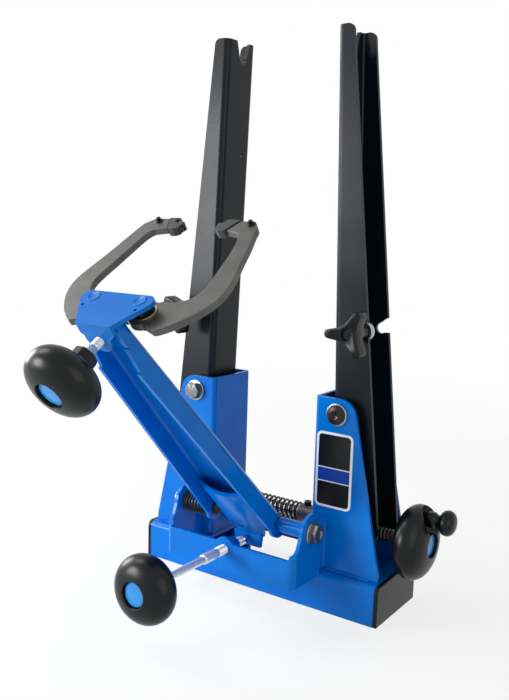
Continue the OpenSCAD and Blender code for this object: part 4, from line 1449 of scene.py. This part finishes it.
@dataclass(frozen=True)
class LobedClamp(Assembly):
    """A three-lobed clamp on an upright."""

    side: Side
    at: Pair
    turn: float
    back: float = -28.0
    front: float = -40.0
    stud_r: float = 3.0
    pad_y: float = -13.7
    pad_t: float = 5.0
    lobe_at: float = 15.4
    lobe_r: float = 3.6
    hub: float = 8.0
    foot: float = 6.6
    steps: int = 240

    def outline(self) -> Array:
        """Radius over the angle: each finger is a straight taper 6 / (sin p + 0.156 cos p) with
        a round end d cos p + sqrt(r^2 - d^2 sin^2 p), p being the angle from its middle; the
        fingers meet the hub in a blend, and the whole is smoothed round the angle.

        Returns:
            The radius at each of the steps.
        """
        third, merge = 2 * np.pi / 3, 1.2
        a = around(self.steps) - math.radians(self.turn)
        p = np.abs((a + third / 2) % third - third / 2)
        d, r = self.lobe_at, self.lobe_r
        taper = 6 / (np.sin(p) + 0.156 * np.cos(p))
        end = d * np.cos(p) + np.sqrt(np.maximum(r**2 - (d * np.sin(p)) ** 2, 0))
        cut = np.where(d * np.sin(p) < r, end, d / np.cos(p))
        both = np.logaddexp(np.minimum(taper, cut) * merge, self.hub * merge) / merge
        for _ in range(3):
            both = (np.roll(both, 1) + 2 * both + np.roll(both, -1)) / 4
        return both

    def build(self) -> None:
        """Makes the knob with its hub, the stud and the pad."""
        word = self.side.word
        place = self.side.of(UPRIGHT.moved(self.at[0], 0, self.at[1]))
        r, foot = self.outline(), self.foot
        depth = self.back - self.front
        rings: Rings = [(0, -10.9), (foot - 0.4, -10.9), (foot, -10.5), (foot, 0.0)]
        for k in np.linspace(0, 1.57, 5):
            rings.append((r - 1.2 + 1.2 * math.sin(k), 1.2 - 1.2 * math.cos(k)))
        for k in np.linspace(0.2, 1.57, 7):
            rings.append((r - 2.0 * (1 - math.cos(k)), depth - 2.0 * (1 - math.sin(k))))
        rings += [(4.6, depth), (4.2, depth - 0.4), (4.2, depth - 2), (0, depth - 2)]
        knob, front = lathe(rings, self.steps), place.moved(0, self.back, 0, TO_FRONT)
        body = f"{word}_clamp_knob"
        name, node = f"clamp_lobes_{word}", f"clamp_knob_{word}"
        self.piece(name, knob, front, PLASTIC, node, body=body, sharp=48)
        stud, back = thread(self.stud_r, 0.4, 1.0, 0, 27.9), place.moved(0, self.back, 0, TO_BACK)
        name, node = f"clamp_thread_{word}", f"clamp_stud_{word}"
        self.piece(name, stud, back, ZINC, node, body=body, sharp=WOUND)
        pad = washer(8.0, self.stud_r + 0.05, 0, self.pad_t, 0.5)
        at = place.moved(0, self.pad_y, 0, TO_BACK)
        body, node = f"{word}_clamp_pad", f"clamp_pad_{word}"
        self.piece(f"clamp_disc_{word}", pad, at, ZINC, node, body=body)


# ------------------------------------------------------------------ studio
@dataclass(frozen=True)
class Lamp:
    """One soft rectangular light aimed at the stand's middle; lengths are in metres."""

    name: str
    where: Triple
    size: Pair
    watts: float

    def build(self) -> None:
        """Adds the light."""
        data = bpy.data.lights.new(self.name, "AREA")
        data.shape = "RECTANGLE"
        data.size, data.size_y = self.size
        data.energy = self.watts
        lamp = bpy.data.objects.new(self.name, data)
        bpy.context.scene.collection.objects.link(lamp)
        lamp.location = self.where
        aim = Vector((0.0, -0.05, 0.18)) - Vector(self.where)
        lamp.rotation_euler = aim.to_track_quat("-Z", "Y").to_euler()


@dataclass(frozen=True)
class Studio:
    """Camera at the photograph's angle, soft lights, white ground."""

    eye: Triple = (365.752, -574.615, 302.366)
    azimuth: float = 34.3728
    pitch: float = 8.9151
    roll: float = 1.72105
    lens: float = 42.87
    floor_half: float = 3.0
    lamps: tuple[Lamp, ...] = (
        Lamp("low_key", (-0.75, -0.95, 0.35), (0.4, 0.4), 11.0),
        Lamp("left_window", (-1.3, -0.1, 0.45), (0.5, 0.55), 12.0),
        Lamp("top_panel", (-0.82, -0.38, 1.1), (0.5, 0.5), 5.0),
        Lamp("right_fill", (1.2, -0.6, 0.5), (1.0, 1.0), 4.0),
    )
    ambient: tuple[Colour, float] = ((0.95, 0.975, 1.0, 1.0), 0.34)
    white: tuple[Colour, float] = ((1.0, 1.0, 1.0, 1.0), 1.0)

    def camera(self) -> None:
        """Sets the camera from its measured angles."""
        az, p, roll = map(math.radians, (self.azimuth, self.pitch, self.roll))
        ahead = Vector((-math.sin(az) * math.cos(p), math.cos(az) * math.cos(p), -math.sin(p)))
        side = Vector((math.cos(az), math.sin(az), 0.0))
        top = side.cross(ahead)
        right = side * math.cos(roll) + top * math.sin(roll)
        up = top * math.cos(roll) - side * math.sin(roll)
        data = bpy.data.cameras.new("camera")
        data.lens = self.lens
        data.sensor_width = data.sensor_height = 36.0
        data.sensor_fit = "AUTO"
        data.clip_start, data.clip_end = 0.01, 50.0
        camera = bpy.data.objects.new("camera", data)
        bpy.context.scene.collection.objects.link(camera)
        camera.matrix_world = Matrix((right, up, -ahead)).transposed().to_4x4()
        camera.location = Vector(self.eye) * MM
        bpy.context.scene.camera = camera

    def ground(self) -> None:
        """Lays the pale floor, which keeps the shadow; the white world shows through it in part,
        and wholly from 0.4 to 1 m out."""
        mesh = bpy.data.meshes.new("floor")
        square = ((-1, -1), (1, -1), (1, 1), (-1, 1))
        corners = [(x * self.floor_half, y * self.floor_half, 0) for x, y in square]
        mesh.from_pydata(corners, [], [(0, 1, 2, 3)])
        floor = bpy.data.objects.new("floor", mesh)
        floor.location.z = -0.0003
        bpy.context.scene.collection.objects.link(floor)
        tree = Tree(bpy.data.materials.new("floor_white"))
        x, y, _ = tree.axes()
        near = 1 - ((x * x + y * y) ** 0.5).step(0.7, 0.6)
        alpha = near * (1 - tree.seen() * 0.78)
        pale = rgb(247, 248, 249)
        white = tree.finish(Base_Color=pale, Roughness=0.8, Specular_IOR_Level=0.1, Alpha=alpha)
        mesh.materials.append(white)

    def world(self) -> None:
        """Lights the scene evenly; seen itself, or mirrored, the world is white."""
        bpy.context.scene.world = bpy.data.worlds.new("studio")
        tree = Tree(bpy.context.scene.world)
        lights = (self.ambient, self.white)
        glows = [tree.node("ShaderNodeBackground", {}, *light) for light in lights]
        mix = tree.node("ShaderNodeMixShader", {}, tree.seen(), *glows)
        tree.node("ShaderNodeOutputWorld", {}, mix)

    def build(self) -> None:
        """Makes the camera, the floor, the world and the lights."""
        bpy.context.scene.view_settings.view_transform = "Standard"
        self.camera()
        self.ground()
        self.world()
        for lamp in self.lamps:
            lamp.build()


def main() -> None:
    """Builds and dresses the stand, piece by piece."""
    logging.basicConfig(level=logging.INFO, format="%(name)s: %(message)s")
    Studio().build()
    right = LobedClamp(Side.RIGHT, (13.8, 63.3), 60.0)
    left = LobedClamp(Side.LEFT, (12.5, 67.0), 30.0)
    parts = [Base(), DepthDrive(), DepthArm(), JawDrive(), Jaws(), Uprights(), CrankDrive()]
    for part in [*parts, right, left]:
        part.build()
        log.info("%s done", type(part).__name__)
    log.info("%d pieces", len(Assembly.made))


if __name__ == "__main__":
    main()
